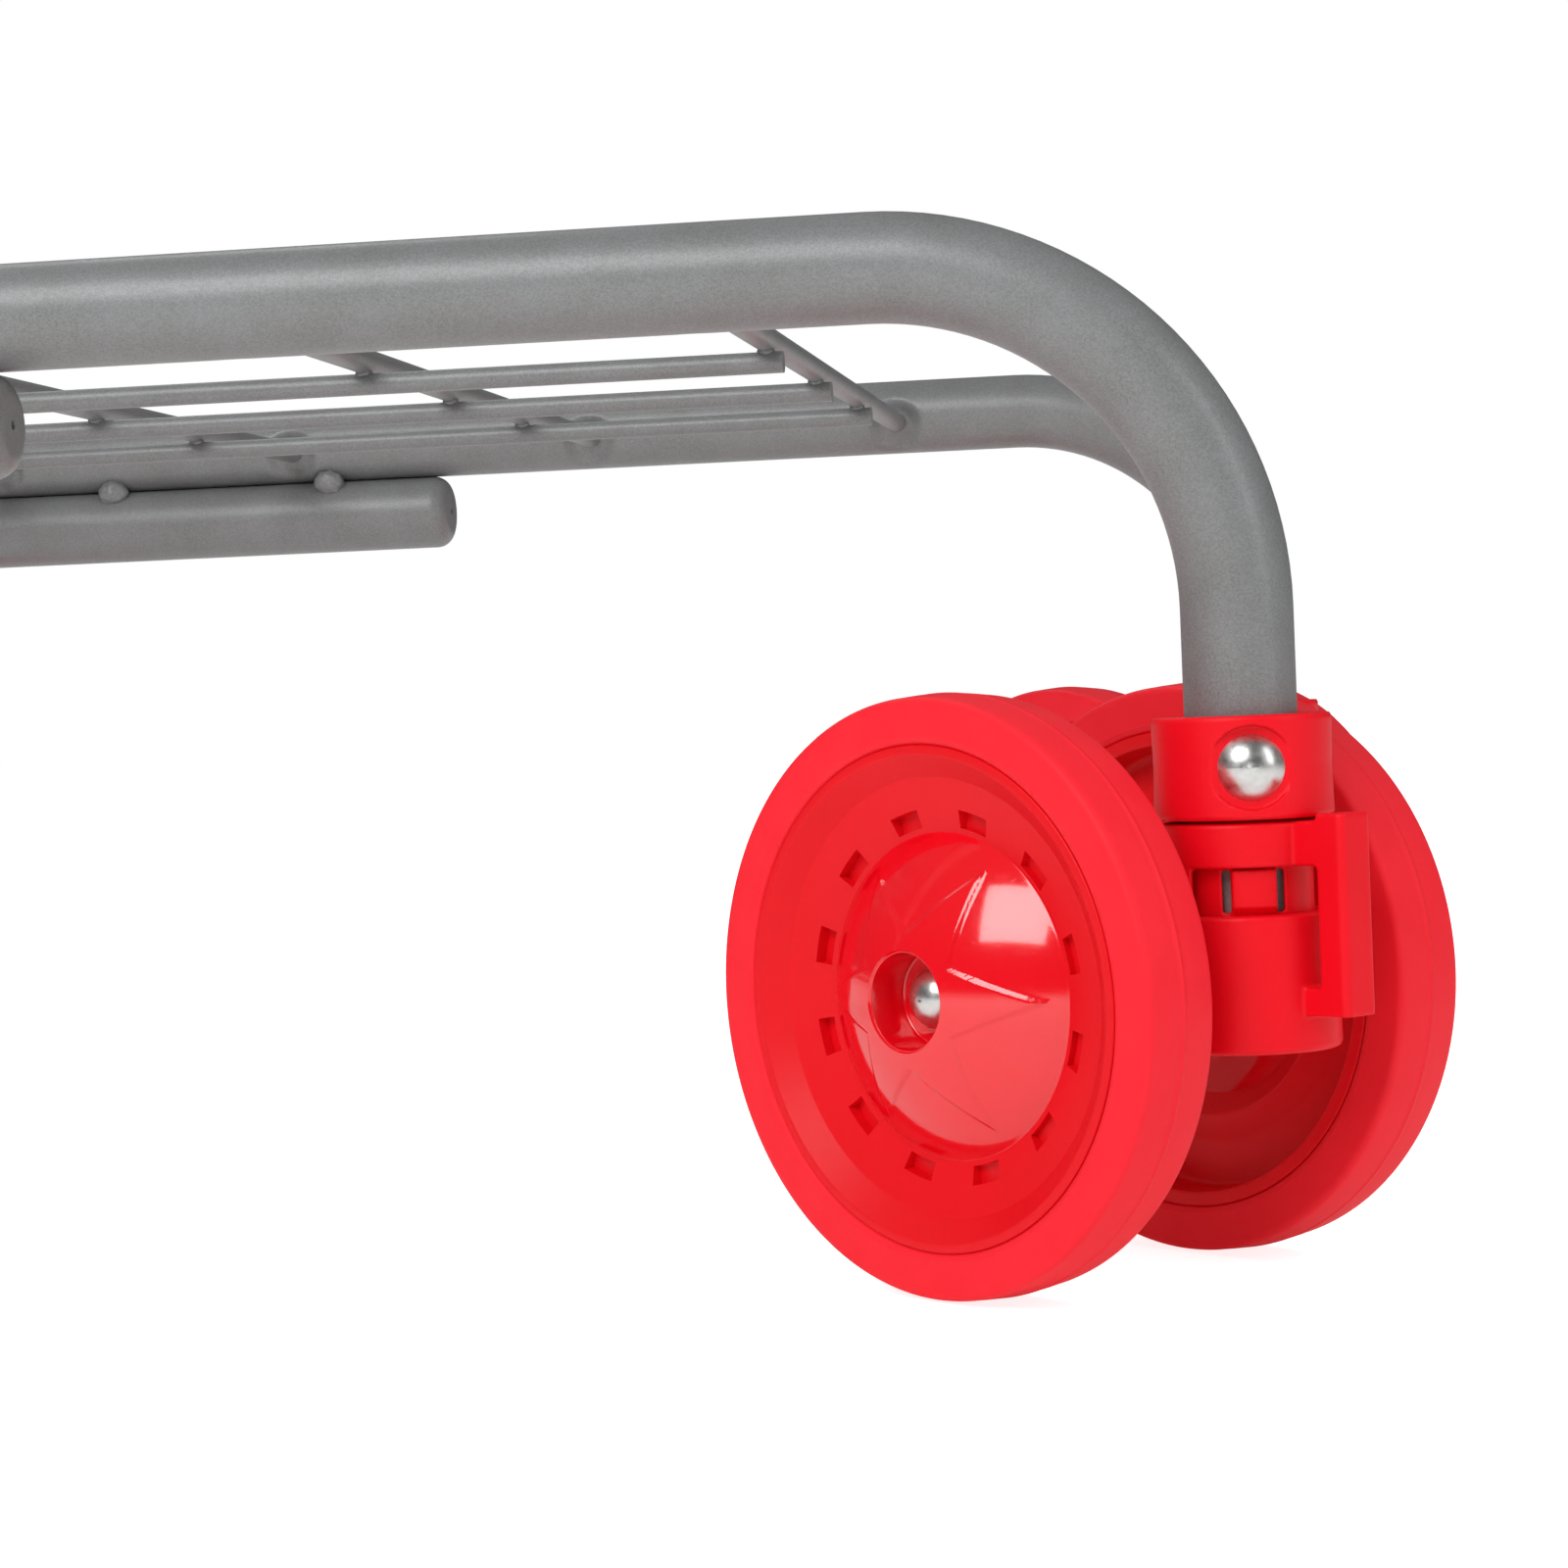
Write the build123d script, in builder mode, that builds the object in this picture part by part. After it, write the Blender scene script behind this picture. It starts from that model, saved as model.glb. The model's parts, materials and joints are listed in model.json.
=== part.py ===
from build123d import *
import os
from math import cos, radians, sin, sqrt

# A folding shopping cart: two bent side tubes with a rod rack between them, twin-wheel swivel
# casters in front, two large wheels behind, and a U-shaped upright that folds forward.
# Millimetres. +X is forward, +Y is the cart's left, +Z is up. The origin is on the floor,
# midway between the casters' swivel axes and the rear axle, on the cart's centre plane.

os.makedirs("parts", exist_ok=True)

# Frame sizes
track = 380.0  # side tube to side tube, centre to centre
wheelbase = 490.0  # caster swivel axis to rear axle
deck_z = 204.3  # height of the side tubes' centres
tube_r = 11.0
tube_wall = 1.2
front_bend_r = 70.0
side_tube_overhang = 17.0  # side tube past the rear axle
rear_leg_reach = 243.0  # rear leg's closed end ahead of the rear axle
rear_bend_r = 60.0
leg_past_axle = 13.0

# Rack sizes
cross_rod_r = 3.0
cross_rod_drop = 2.0  # cross rods sit this far below the side tubes' centres
cross_rod_count = 4
cross_rod_pitch = 94.5
first_cross_rod = 106.0  # behind the swivel axis
rod_hole_r = 4.2
rod_insert = 2.0  # rods and crossbars reach this far inside the tubes' walls
long_rod_r = 2.5
long_rod_count = 3
long_rod_pitch = 85.0
long_rod_past = 4.0  # long rods run this far past the end cross rods

# Front caster sizes
front_wheel_r = 60.0
wheel_half_width = 9.2
caster_trail = 44.2
caster_yaw = -39.5  # both casters stand turned to the right
caster_half_track = 37.3  # wheel mid-planes from the caster's middle
caster_axle_r = 4.0
stem_r = 13.0
stem_end_gap = 0.5
stem_past_tube = 3.0
housing_r = 17.5
band_r = 16.3
housing_drop = 11.7  # housing's underside below the caster axle
housing_floor = 3.2
lower_wall_height = 26.6
slot_height = 9.2
band_height = 8.6
groove_r = 15.0
collar_r = 17.55
collar_height = 20.0
collar_gap = 0.6
collar_turn = 7.0  # rivet faces this far forward of straight outboard
running_fit = 0.06
tab_width = 8.6  # snap tabs that hold the housing on the collar's stem
tab_face = 14.5
tab_slit = 1.6
tab_lead_in = 1.2
bar_width = 9.0  # guard bar in front of the housing
bar_thickness = 6.5
bar_edge_r = 1.5
bar_reach = 27.6
bar_lift = 7.1  # bar's foot above the housing's underside
bar_rise = 1.4  # bar's top above the band's
bar_foot_height = 5.4

# Wheel sizes
rear_wheel_r = 75.0
rear_axle_r = 5.0
tyre_depth = 10.0
shoulder_r = 3.0
tyre_groove = 0.8  # chamfer beside the rim, seen as a groove
rim_thickness = 3.0
web_thickness = 3.2
vent_depth = 1.3  # vents are blind pockets, this far below the foot of the dome
front_dome_r = 32.5
rear_dome_r = 40.0
lip_width = 1.9  # flat lip between the tyre and the dish's wall
wall_width = 4.6  # sloped wall of the dish, measured along the radius
wall_drop = 3.9
dish_drop = 7.4  # foot of the dome below the tyre's face
crown_rise = 4.9
recess_r = 9.6
cap_seat_drop = 4.2  # axle cap's seat below the tyre's face
hub_boss_r = 12.4
vent_count = 12
vent_length = 7.5
vent_width = 3.7
vent_inset = 14.5  # vent centres inside the rim

# Upright sizes
pivot_ahead = 20.0  # upright's pivot ahead of the rear axle
pivot_rise = 28.5  # pivot above the side tubes' centres
upright_top = 1000.0
upright_bend_r = 60.0
crossbar_r = 6.0
crossbar_wall = 1.0
crossbar_heights = (330.0, 640.0)
hinge_pin_r = 4.0
pin_head_r = 6.5
pin_head_height = 2.0
ear_thickness = 6.0
ear_gap = 0.3
ear_reach = 14.0
bracket_skin = 3.0
button_rise = 26.0  # release button above the pivot
button_travel = 3.0
spring_solid_length = 2.7  # room left for the spring when the button is pressed
button_shaft_r = 5.0
button_head_r = 7.2
spring_wire_r = 0.4
grip_length = 190.0
grip_skin = 4.5
grip_edge = 1.0
grip_swell = 0.8

# Rivet sizes
collar_rivet_r = 2.5
collar_head_r = 6.45
collar_recess_r = 8.15
small_rivet_r = 2.0
small_head_r = 3.8
small_head_height = 1.6
fit_gap = 0.05

# Places that follow from the sizes
front_x = wheelbase / 2
rear_x = -wheelbase / 2
pivot_x = rear_x + pivot_ahead
pivot_z = deck_z + pivot_rise
side_tube_rear_x = rear_x - side_tube_overhang
cross_rod_z = deck_z - cross_rod_drop
long_rod_z = cross_rod_z - cross_rod_r - long_rod_r
cross_rod_xs = [front_x - first_cross_rod - i * cross_rod_pitch for i in range(cross_rod_count)]
long_rod_ys = [(i - (long_rod_count - 1) / 2) * long_rod_pitch for i in range(long_rod_count)]
rear_leg_z = deck_z - 2 * tube_r
leg_front_x = rear_x + rear_leg_reach
axle_z = front_wheel_r
housing_z = axle_z - housing_drop
slot_z = housing_z + lower_wall_height
band_z = slot_z + slot_height
band_top_z = band_z + band_height
collar_z = band_top_z + collar_gap
collar_top_z = collar_z + collar_height
collar_mid_z = collar_z + collar_height / 2
stem_end_z = housing_z + housing_floor + stem_end_gap
tube_end_z = stem_end_z + stem_past_tube
inner_r = tube_r - tube_wall
sides = {"right": -1, "left": 1}


def arc_middle(base_r, base_w, top_r, top_w):
    """Point halfway along a dome whose sphere is centred on the wheel's axis."""
    centre_w = ((top_w**2 + top_r**2) - (base_w**2 + base_r**2)) / (2 * (top_w - base_w))
    sphere_r = sqrt(base_r**2 + (base_w - centre_w) ** 2)
    middle_r = (base_r + top_r) / 2
    return (middle_r, centre_w + sqrt(sphere_r**2 - middle_r**2))


# Side tubes: bent steel tube, from the rear end along the base, down into the caster collar
for side, hand in sides.items():
    y = hand * track / 2
    with BuildPart() as side_tube:
        with BuildLine(Plane.XZ.offset(-y)) as side_path:
            FilletPolyline(
                (side_tube_rear_x, deck_z),
                (front_x, deck_z),
                (front_x, tube_end_z),
                radius=front_bend_r,
            )
        with BuildSketch(Plane(origin=side_path.line @ 0, z_dir=side_path.line % 0)):
            Circle(tube_r)
            Circle(inner_r, mode=Mode.SUBTRACT)
        sweep(path=side_path.line)
        # Punched holes in the inner wall, a little low, where the cross rods enter
        hole_z = cross_rod_z + cross_rod_r - rod_hole_r
        with Locations([(x, y - hand * tube_r, hole_z) for x in cross_rod_xs]):
            Cylinder(rod_hole_r, tube_r, rotation=(90, 0, 0), mode=Mode.SUBTRACT)
        # Rivet holes for the hinge bracket, and one through the collar
        with Locations([(pivot_x + s * ear_reach, y, deck_z) for s in (-1, 1)]):
            Cylinder(small_rivet_r + fit_gap, 3 * tube_r, rotation=(90, 0, 0), mode=Mode.SUBTRACT)
        with Locations((front_x, y, collar_mid_z)):
            Cylinder(
                collar_rivet_r + fit_gap,
                3 * tube_r,
                rotation=(90, -hand * collar_turn, 0),
                mode=Mode.SUBTRACT,
            )
    side_tube.part.label = f"side_tube_{side}"
    export_step(side_tube.part, f"parts/side_tube_{side}.step")

# Rear legs: the same tube under each side tube, closed and domed in front, bent down to the axle
leg_end_z = rear_wheel_r - leg_past_axle
for side, hand in sides.items():
    y = hand * track / 2
    with BuildPart() as rear_leg:
        with BuildLine(Plane.XZ.offset(-y)) as leg_path:
            FilletPolyline(
                (leg_front_x - tube_r, rear_leg_z),
                (rear_x, rear_leg_z),
                (rear_x, leg_end_z),
                radius=rear_bend_r,
            )
        with BuildSketch(Plane(origin=leg_path.line @ 0, z_dir=leg_path.line % 0)):
            Circle(tube_r)
            Circle(inner_r, mode=Mode.SUBTRACT)
        sweep(path=leg_path.line)
        # The closed end, spun over to a shallow dome with a small hole left in its middle
        with BuildSketch(Plane.XZ.offset(-y)):
            with BuildLine():
                front = leg_front_x
                back = leg_front_x - tube_r
                Polyline((back, rear_leg_z + inner_r), (back, rear_leg_z + tube_r))
                Line((back, rear_leg_z + tube_r), (front - 5, rear_leg_z + tube_r))
                ThreePointArc(
                    (front - 5, rear_leg_z + tube_r),
                    (front - 1.6, rear_leg_z + tube_r - 1.3),
                    (front, rear_leg_z + tube_r - 5),
                )
                Line((front, rear_leg_z + tube_r - 5), (front, rear_leg_z + 1))
                Line((front, rear_leg_z + 1), (front - tube_wall, rear_leg_z + 1))
                Line((front - tube_wall, rear_leg_z + 1), (front - tube_wall, rear_leg_z + inner_r - 4))
                ThreePointArc(
                    (front - tube_wall, rear_leg_z + inner_r - 4),
                    (front - tube_wall - 1.2, rear_leg_z + inner_r - 1.2),
                    (front - tube_wall - 4, rear_leg_z + inner_r),
                )
                Line((front - tube_wall - 4, rear_leg_z + inner_r), (back, rear_leg_z + inner_r))
            make_face()
        revolve(axis=Axis((back, y, rear_leg_z), (1, 0, 0)))
        # Holes for the rear axle
        with Locations((rear_x, y, rear_wheel_r)):
            Cylinder(rear_axle_r + fit_gap, 3 * tube_r, rotation=(90, 0, 0), mode=Mode.SUBTRACT)
    rear_leg.part.label = f"rear_leg_{side}"
    export_step(rear_leg.part, f"parts/rear_leg_{side}.step")

# Weld beads that join each rear leg to its side tube, on the inner side of the seam
leg_weld_r = 4.3
leg_weld_count = 3
first_leg_weld = 37.0  # behind the leg's closed end
leg_weld_pitch = 70.0
weld_inset = 6.5
weld_drop = 0.8
leg_weld_xs = [leg_front_x - first_leg_weld - i * leg_weld_pitch for i in range(leg_weld_count)]
leg_weld_z = deck_z - tube_r - weld_drop
leg_weld_y = track / 2 - weld_inset
with BuildPart() as leg_welds:
    with Locations([(x, h * leg_weld_y, leg_weld_z) for x in leg_weld_xs for h in sides.values()]):
        Sphere(leg_weld_r)
leg_welds.part.label = "leg_welds"
export_step(leg_welds.part, "parts/leg_welds.step")

# Rack: cross rods that end inside the side tubes, and long rods welded under them
cross_rod_end = track / 2 - tube_r + tube_wall + rod_insert
with BuildPart() as rack_cross_rods:
    with BuildSketch(Plane.XZ.offset(-cross_rod_end)):
        with Locations([(x, cross_rod_z) for x in cross_rod_xs]):
            Circle(cross_rod_r)
    extrude(amount=2 * cross_rod_end)
rack_cross_rods.part.label = "rack_cross_rods"
export_step(rack_cross_rods.part, "parts/rack_cross_rods.step")

long_rod_front = cross_rod_xs[0] + long_rod_past
long_rod_rear = cross_rod_xs[-1] - long_rod_past
with BuildPart() as rack_long_rods:
    with BuildSketch(Plane.YZ.offset(long_rod_rear)):
        with Locations([(y, long_rod_z) for y in long_rod_ys]):
            Circle(long_rod_r)
    extrude(amount=long_rod_front - long_rod_rear)
rack_long_rods.part.label = "rack_long_rods"
export_step(rack_long_rods.part, "parts/rack_long_rods.step")

# Resistance-weld nuggets at the rod crossings
rod_weld_r = 1.8
with BuildPart() as rack_welds:
    with Locations([(x, y, cross_rod_z - cross_rod_r) for x in cross_rod_xs for y in long_rod_ys]):
        Sphere(rod_weld_r)
rack_welds.part.label = "rack_welds"
export_step(rack_welds.part, "parts/rack_welds.step")

# Caster collar: moulded sleeve on the tube end, its stem carries the swivel housing.
# Modelled about its own swivel axis, with the rivet facing the right side of the cart.
tab_height = slot_height - 0.8
recess_depth = 2.1
with BuildPart() as collar:
    with BuildSketch(Plane.XZ):
        with BuildLine():
            Polyline(
                (tube_r + fit_gap, collar_top_z),
                (collar_r - 0.4, collar_top_z),
                (collar_r, collar_top_z - 0.8),
                (collar_r - 0.25, collar_mid_z),
                (collar_r, collar_z + 0.6),
                (collar_r - 0.6, collar_z),
                (stem_r, collar_z),
                (stem_r, stem_end_z + 1),
                (stem_r - 1, stem_end_z),
                (0, stem_end_z),
                (0, tube_end_z - 0.1),
                (tube_r + fit_gap, tube_end_z - 0.1),
                close=True,
            )
        make_face()
    revolve(axis=Axis.Z)
    # Two snap tabs in the stem, front and back of the rivet line
    with BuildSketch(Plane.XY.offset(slot_z + 0.4)):
        with Locations(Rotation(0, 0, collar_turn)):
            Rectangle(tab_width, 2 * groove_r)
        Circle(tab_face, mode=Mode.INTERSECT)
        Circle(tube_r + fit_gap, mode=Mode.SUBTRACT)
    extrude(amount=tab_height)
    # The tabs' lower edges slope back, so that they lead into the housing's bore
    lead_edges = (
        collar.edges()
        .filter_by(lambda e: abs(e.center().Z - slot_z - 0.4) < 0.01)
        .filter_by(lambda e: abs(e.radius - tab_face) < 0.01 if e.geom_type == GeomType.CIRCLE else False)
    )
    chamfer(lead_edges, length=tab_lead_in)
    # Slits beside the tabs let them spring inwards
    slit_x = (tab_width + tab_slit) / 2
    with BuildSketch(Plane.XY.offset(slot_z + 0.4)):
        with Locations(Rotation(0, 0, collar_turn)):
            with Locations((-slit_x, 0), (slit_x, 0)):
                Rectangle(tab_slit, 4 * stem_r)
        Circle(tube_r + fit_gap, mode=Mode.SUBTRACT)
    extrude(amount=tab_height, mode=Mode.SUBTRACT)
    # Round recesses for the rivet's heads, and the rivet's hole
    for turn in (collar_turn, collar_turn + 180):
        with BuildSketch(
            Plane(
                origin=(
                    (collar_r - recess_depth) * sin(radians(turn)),
                    -(collar_r - recess_depth) * cos(radians(turn)),
                    collar_mid_z,
                ),
                z_dir=(sin(radians(turn)), -cos(radians(turn)), 0),
            )
        ):
            Circle(collar_recess_r)
        extrude(amount=2 * recess_depth, mode=Mode.SUBTRACT)
    with Locations((0, 0, collar_mid_z)):
        Cylinder(
            collar_rivet_r + fit_gap,
            3 * collar_r,
            rotation=(90, collar_turn, 0),
            mode=Mode.SUBTRACT,
        )

for side, hand in sides.items():
    shaped = collar.part if hand < 0 else mirror(collar.part, about=Plane.XZ)
    placed = shaped.moved(Location((front_x, hand * track / 2, 0)))
    placed.label = f"caster_collar_{side}"
    export_step(placed, f"parts/caster_collar_{side}.step")

# Collar rivets: one through each collar and tube, with a domed head on both ends
rivet_seat = collar_r - recess_depth + 0.02
rivet_rise = 3.0
with BuildPart() as collar_rivet:
    with BuildSketch(Plane.XZ):
        with BuildLine():
            top = (0, rivet_seat + rivet_rise)
            rim = (collar_head_r, rivet_seat)
            ThreePointArc(top, arc_middle(*rim, *top), rim)
            Polyline(rim, (collar_rivet_r, rivet_seat), (collar_rivet_r, 0), (0, 0), top)
        make_face()
        mirror(about=Plane.XZ)
    revolve(axis=Axis.Z)

with BuildPart() as collar_rivets:
    for hand in sides.values():
        out = (sin(radians(collar_turn)), hand * cos(radians(collar_turn)), 0)
        centre = (front_x, hand * track / 2, collar_mid_z)
        add(collar_rivet.part.moved(Plane(origin=centre, z_dir=out).location))
collar_rivets.part.label = "collar_rivets"
export_step(collar_rivets.part, "parts/collar_rivets.step")

# Swivel housing: one moulding with the bore for the stem, a front guard bar and the axle arm.
# Modelled about its own swivel axis with the caster pointing straight ahead.
bore_r = stem_r + running_fit
bar_z = housing_z + bar_lift
bar_top_z = band_top_z + bar_rise
axle_boss_r = 11.0
wheel_side_gap = 0.3
axle_boss_half = caster_half_track - wheel_half_width - wheel_side_gap
arm_half_width = 12.0
with BuildPart() as housing:
    with BuildSketch(Plane.XZ):
        with BuildLine():
            Polyline(
                (0, housing_z),
                (housing_r - 0.7, housing_z),
                (housing_r, housing_z + 0.7),
                (housing_r, slot_z - 0.5),
                (housing_r - 0.5, slot_z),
                (band_r, slot_z),
                (band_r, band_top_z - 0.5),
                (band_r - 0.5, band_top_z),
                (0, band_top_z),
                close=True,
            )
        make_face()
    revolve(axis=Axis.Z)
    # Guard bar in front, bridged to the band above and to the wall below
    with BuildSketch(Plane.XZ):
        with Locations(((bar_reach - bar_thickness / 2), (bar_z + bar_top_z) / 2)):
            Rectangle(bar_thickness, bar_top_z - bar_z)
        with Locations((bar_reach / 2, (band_z + band_top_z) / 2)):
            Rectangle(bar_reach, band_height)
        with Locations((bar_reach / 2, bar_z + bar_foot_height / 2)):
            Rectangle(bar_reach, bar_foot_height)
    extrude(amount=bar_width / 2, both=True)
    bar_edges = housing.edges().filter_by(Axis.Z).sort_by(Axis.X)[-2:]
    fillet(bar_edges, radius=bar_edge_r)
    # Arm that trails back to the axle
    with BuildSketch(Plane.XZ):
        with Locations((-caster_trail, axle_z)):
            Circle(axle_boss_r)
        with Locations((-stem_r / 2, (housing_z + slot_z) / 2)):
            Rectangle(stem_r, slot_z - housing_z - 2)
        make_hull()
    extrude(amount=arm_half_width, both=True)
    with Locations((-caster_trail, 0, axle_z)):
        Cylinder(axle_boss_r, 2 * axle_boss_half, rotation=(90, 0, 0))
        Cylinder(caster_axle_r + fit_gap, 3 * axle_boss_half, rotation=(90, 0, 0), mode=Mode.SUBTRACT)
    # Bore for the stem, with a groove all round at slot height for the snap tabs
    with BuildSketch(Plane.XZ):
        with BuildLine():
            Polyline(
                (0, housing_z + housing_floor),
                (bore_r, housing_z + housing_floor),
                (bore_r, slot_z),
                (groove_r, slot_z),
                (groove_r, band_z),
                (bore_r, band_z),
                (bore_r, band_top_z + 1),
                (0, band_top_z + 1),
                close=True,
            )
        make_face()
    revolve(axis=Axis.Z, mode=Mode.SUBTRACT)
    # The slot is open through the front half of the wall
    with Locations((housing_r / 2, 0, slot_z + slot_height / 2)):
        Box(housing_r + 1, 2 * housing_r, slot_height, mode=Mode.SUBTRACT)

# Caster axle, and the domed caps pressed on its ends
front_seat_w = wheel_half_width - cap_seat_drop
axle_end_gap = 0.3  # axle end past the cap's seat
axle_half = caster_half_track + front_seat_w + axle_end_gap
axle_cap_r = 6.0
cap_rim = 1.2
cap_height = 4.8
with BuildPart() as caster_axle:
    with Locations((0, 0, axle_z)):
        Cylinder(caster_axle_r, 2 * axle_half, rotation=(90, 0, 0))

with BuildPart() as axle_caps:
    with BuildSketch(Plane.XY.offset(axle_z)):
        with BuildLine():
            top = (0, axle_half + cap_height)
            rim = (axle_cap_r, axle_half + cap_rim)
            ThreePointArc(top, arc_middle(*rim, *top), rim)
            Polyline(rim, (axle_cap_r, axle_half), (0, axle_half), top)
        make_face()
        mirror(about=Plane.XZ)
    revolve(axis=Axis((0, 0, axle_z), (0, 1, 0)))

axle_place = Location((-caster_trail, 0, 0))
for side, hand in sides.items():
    caster_place = Location((front_x, hand * track / 2, 0), (0, 0, caster_yaw))
    for piece, name in (
        (housing.part, "caster_housing"),
        (caster_axle.part.moved(axle_place), "caster_axle"),
        (axle_caps.part.moved(axle_place), "caster_axle_caps"),
    ):
        placed = piece.moved(caster_place)
        placed.label = f"{name}_{side}"
        export_step(placed, f"parts/{name}_{side}.step")


def wheel_hub(wheel_r, dome_r, axle_r, boss_back):
    """Moulded wheel disc about its own axis, its outer face towards +Z."""
    rim_r = wheel_r - tyre_depth
    rim_in = rim_r - rim_thickness
    lip_w = wheel_half_width - 0.4
    lip_r = rim_r - lip_width
    wall_r = lip_r - wall_width
    wall_w = lip_w - wall_drop
    dish_w = wheel_half_width - dish_drop
    crown_w = wheel_half_width + crown_rise
    seat_w = wheel_half_width - cap_seat_drop
    hole_r = axle_r + running_fit
    with BuildPart() as hub:
        with BuildSketch(Plane.XZ):
            with BuildLine():
                Polyline((hole_r, -boss_back), (hole_r, seat_w), (recess_r, seat_w), (recess_r, crown_w))
                ThreePointArc(
                    (recess_r, crown_w), arc_middle(dome_r, dish_w, recess_r, crown_w), (dome_r, dish_w)
                )
                under = (dome_r, dish_w - web_thickness)
                over = (hub_boss_r, crown_w - web_thickness - 1.2)
                Polyline(
                    (dome_r, dish_w),
                    (wall_r, wall_w),
                    (lip_r, lip_w),
                    (rim_r - 0.7, lip_w),
                    (rim_r, lip_w - 0.7),
                    (rim_r, -lip_w),
                    (rim_in, -lip_w),
                    (rim_in, wall_w - web_thickness),
                    (wall_r, wall_w - web_thickness),
                    under,
                )
                ThreePointArc(under, arc_middle(*under, *over), over)
                Polyline(over, (hub_boss_r, -boss_back), (hole_r, -boss_back))
            make_face()
        revolve(axis=Axis.Z)
        # Ring of blind pockets in the dish
        with BuildSketch(Plane.XY.offset(dish_w - vent_depth)):
            with PolarLocations(rim_r - vent_inset, vent_count, start_angle=15):
                Rectangle(vent_width, vent_length)
        extrude(amount=3 * web_thickness, mode=Mode.SUBTRACT)
    return hub.part


def wheel_tyre(wheel_r):
    """Soft tyre moulded round the rim, about its own axis."""
    rim_r = wheel_r - tyre_depth
    with BuildPart() as tyre:
        with BuildSketch(Plane.XZ) as section:
            with Locations(((wheel_r + rim_r) / 2, 0)):
                Rectangle(wheel_r - rim_r, 2 * wheel_half_width)
            corners = section.vertices().group_by(Axis.X)
            fillet(corners[-1], radius=shoulder_r)
            chamfer(corners[0], length=tyre_groove)
        revolve(axis=Axis.Z)
    return tyre.part


# Front wheels: two to a caster, outer faces turned away from each other
front_hub = wheel_hub(front_wheel_r, front_dome_r, caster_axle_r, wheel_half_width)
front_tyre = wheel_tyre(front_wheel_r)
ahead = Vector(cos(radians(caster_yaw)), sin(radians(caster_yaw)), 0)
across = Vector(-ahead.Y, ahead.X, 0)
for side, hand in sides.items():
    for place, way in (("near", -1), ("far", 1)):
        axle_middle = Vector(front_x, hand * track / 2, axle_z) - ahead * caster_trail
        middle = axle_middle + across * (way * caster_half_track)
        seat_plane = Plane(origin=middle, x_dir=(0, 0, 1), z_dir=across * way)
        for piece, name in ((front_hub, "hub"), (front_tyre, "tyre")):
            placed = piece.moved(seat_plane.location)
            placed.label = f"front_{name}_{side}_{place}"
            export_step(placed, f"parts/front_{name}_{side}_{place}.step")

# Rear wheels, outboard of the legs on one through axle
rear_side_gap = 3.0
rear_mid_y = track / 2 + tube_r + rear_side_gap + wheel_half_width
rear_hub = wheel_hub(rear_wheel_r, rear_dome_r, rear_axle_r, wheel_half_width)
rear_tyre = wheel_tyre(rear_wheel_r)
for side, hand in sides.items():
    middle = (rear_x, hand * rear_mid_y, rear_wheel_r)
    seat_plane = Plane(origin=middle, x_dir=(0, 0, 1), z_dir=(0, hand, 0))
    for piece, name in ((rear_hub, "hub"), (rear_tyre, "tyre")):
        placed = piece.moved(seat_plane.location)
        placed.label = f"rear_{name}_{side}"
        export_step(placed, f"parts/rear_{name}_{side}.step")

rear_axle_half = rear_mid_y + wheel_half_width - cap_seat_drop + axle_end_gap
with BuildPart() as rear_axle:
    with Locations((rear_x, 0, rear_wheel_r)):
        Cylinder(rear_axle_r, 2 * rear_axle_half, rotation=(90, 0, 0))
rear_axle.part.label = "rear_axle"
export_step(rear_axle.part, "parts/rear_axle.step")

rear_cap_r = 7.5
with BuildPart() as rear_caps:
    with BuildSketch():
        with BuildLine():
            top = (0, rear_axle_half + cap_height)
            rim = (rear_cap_r, rear_axle_half + cap_rim)
            ThreePointArc(top, arc_middle(*rim, *top), rim)
            Polyline(rim, (rear_cap_r, rear_axle_half), (0, rear_axle_half), top)
        make_face()
        mirror(about=Plane.XZ)
    revolve(axis=Axis.Y)
rear_axle_caps = rear_caps.part.moved(Location((rear_x, 0, rear_wheel_r)))
rear_axle_caps.label = "rear_axle_caps"
export_step(rear_axle_caps, "parts/rear_axle_caps.step")

# Washers between the legs and the wheel bosses
washer_thickness = 2.4
washer_r = 10.0
with BuildPart() as rear_washers:
    for hand in sides.values():
        washer_seat = (rear_x, hand * (track / 2 + tube_r + fit_gap), rear_wheel_r)
        with BuildSketch(Plane(origin=washer_seat, z_dir=(0, hand, 0))):
            Circle(washer_r)
            Circle(rear_axle_r + fit_gap, mode=Mode.SUBTRACT)
        extrude(amount=washer_thickness)
rear_washers.part.label = "rear_washers"
export_step(rear_washers.part, "parts/rear_washers.step")

# Plugs in the open tube ends: behind the side tubes and under the rear legs
plug_insert = 8.0
leg_plug_insert = 3.0  # short, because the rear axle passes just above
plug_head = 2.2
plug_taper = 20
with BuildPart() as tube_plugs:
    for hand in sides.values():
        y = hand * track / 2
        for origin, out, insert in (
            ((side_tube_rear_x, y, deck_z), (-1, 0, 0), plug_insert),
            ((rear_x, y, leg_end_z), (0, 0, -1), leg_plug_insert),
        ):
            with BuildSketch(Plane(origin=origin, z_dir=out).offset(-insert)):
                Circle(inner_r - fit_gap)
            extrude(amount=insert)
            with BuildSketch(Plane(origin=origin, z_dir=out)):
                Circle(tube_r)
            extrude(amount=plug_head, taper=plug_taper)
tube_plugs.part.label = "tube_plugs"
export_step(tube_plugs.part, "parts/tube_plugs.step")

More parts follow.
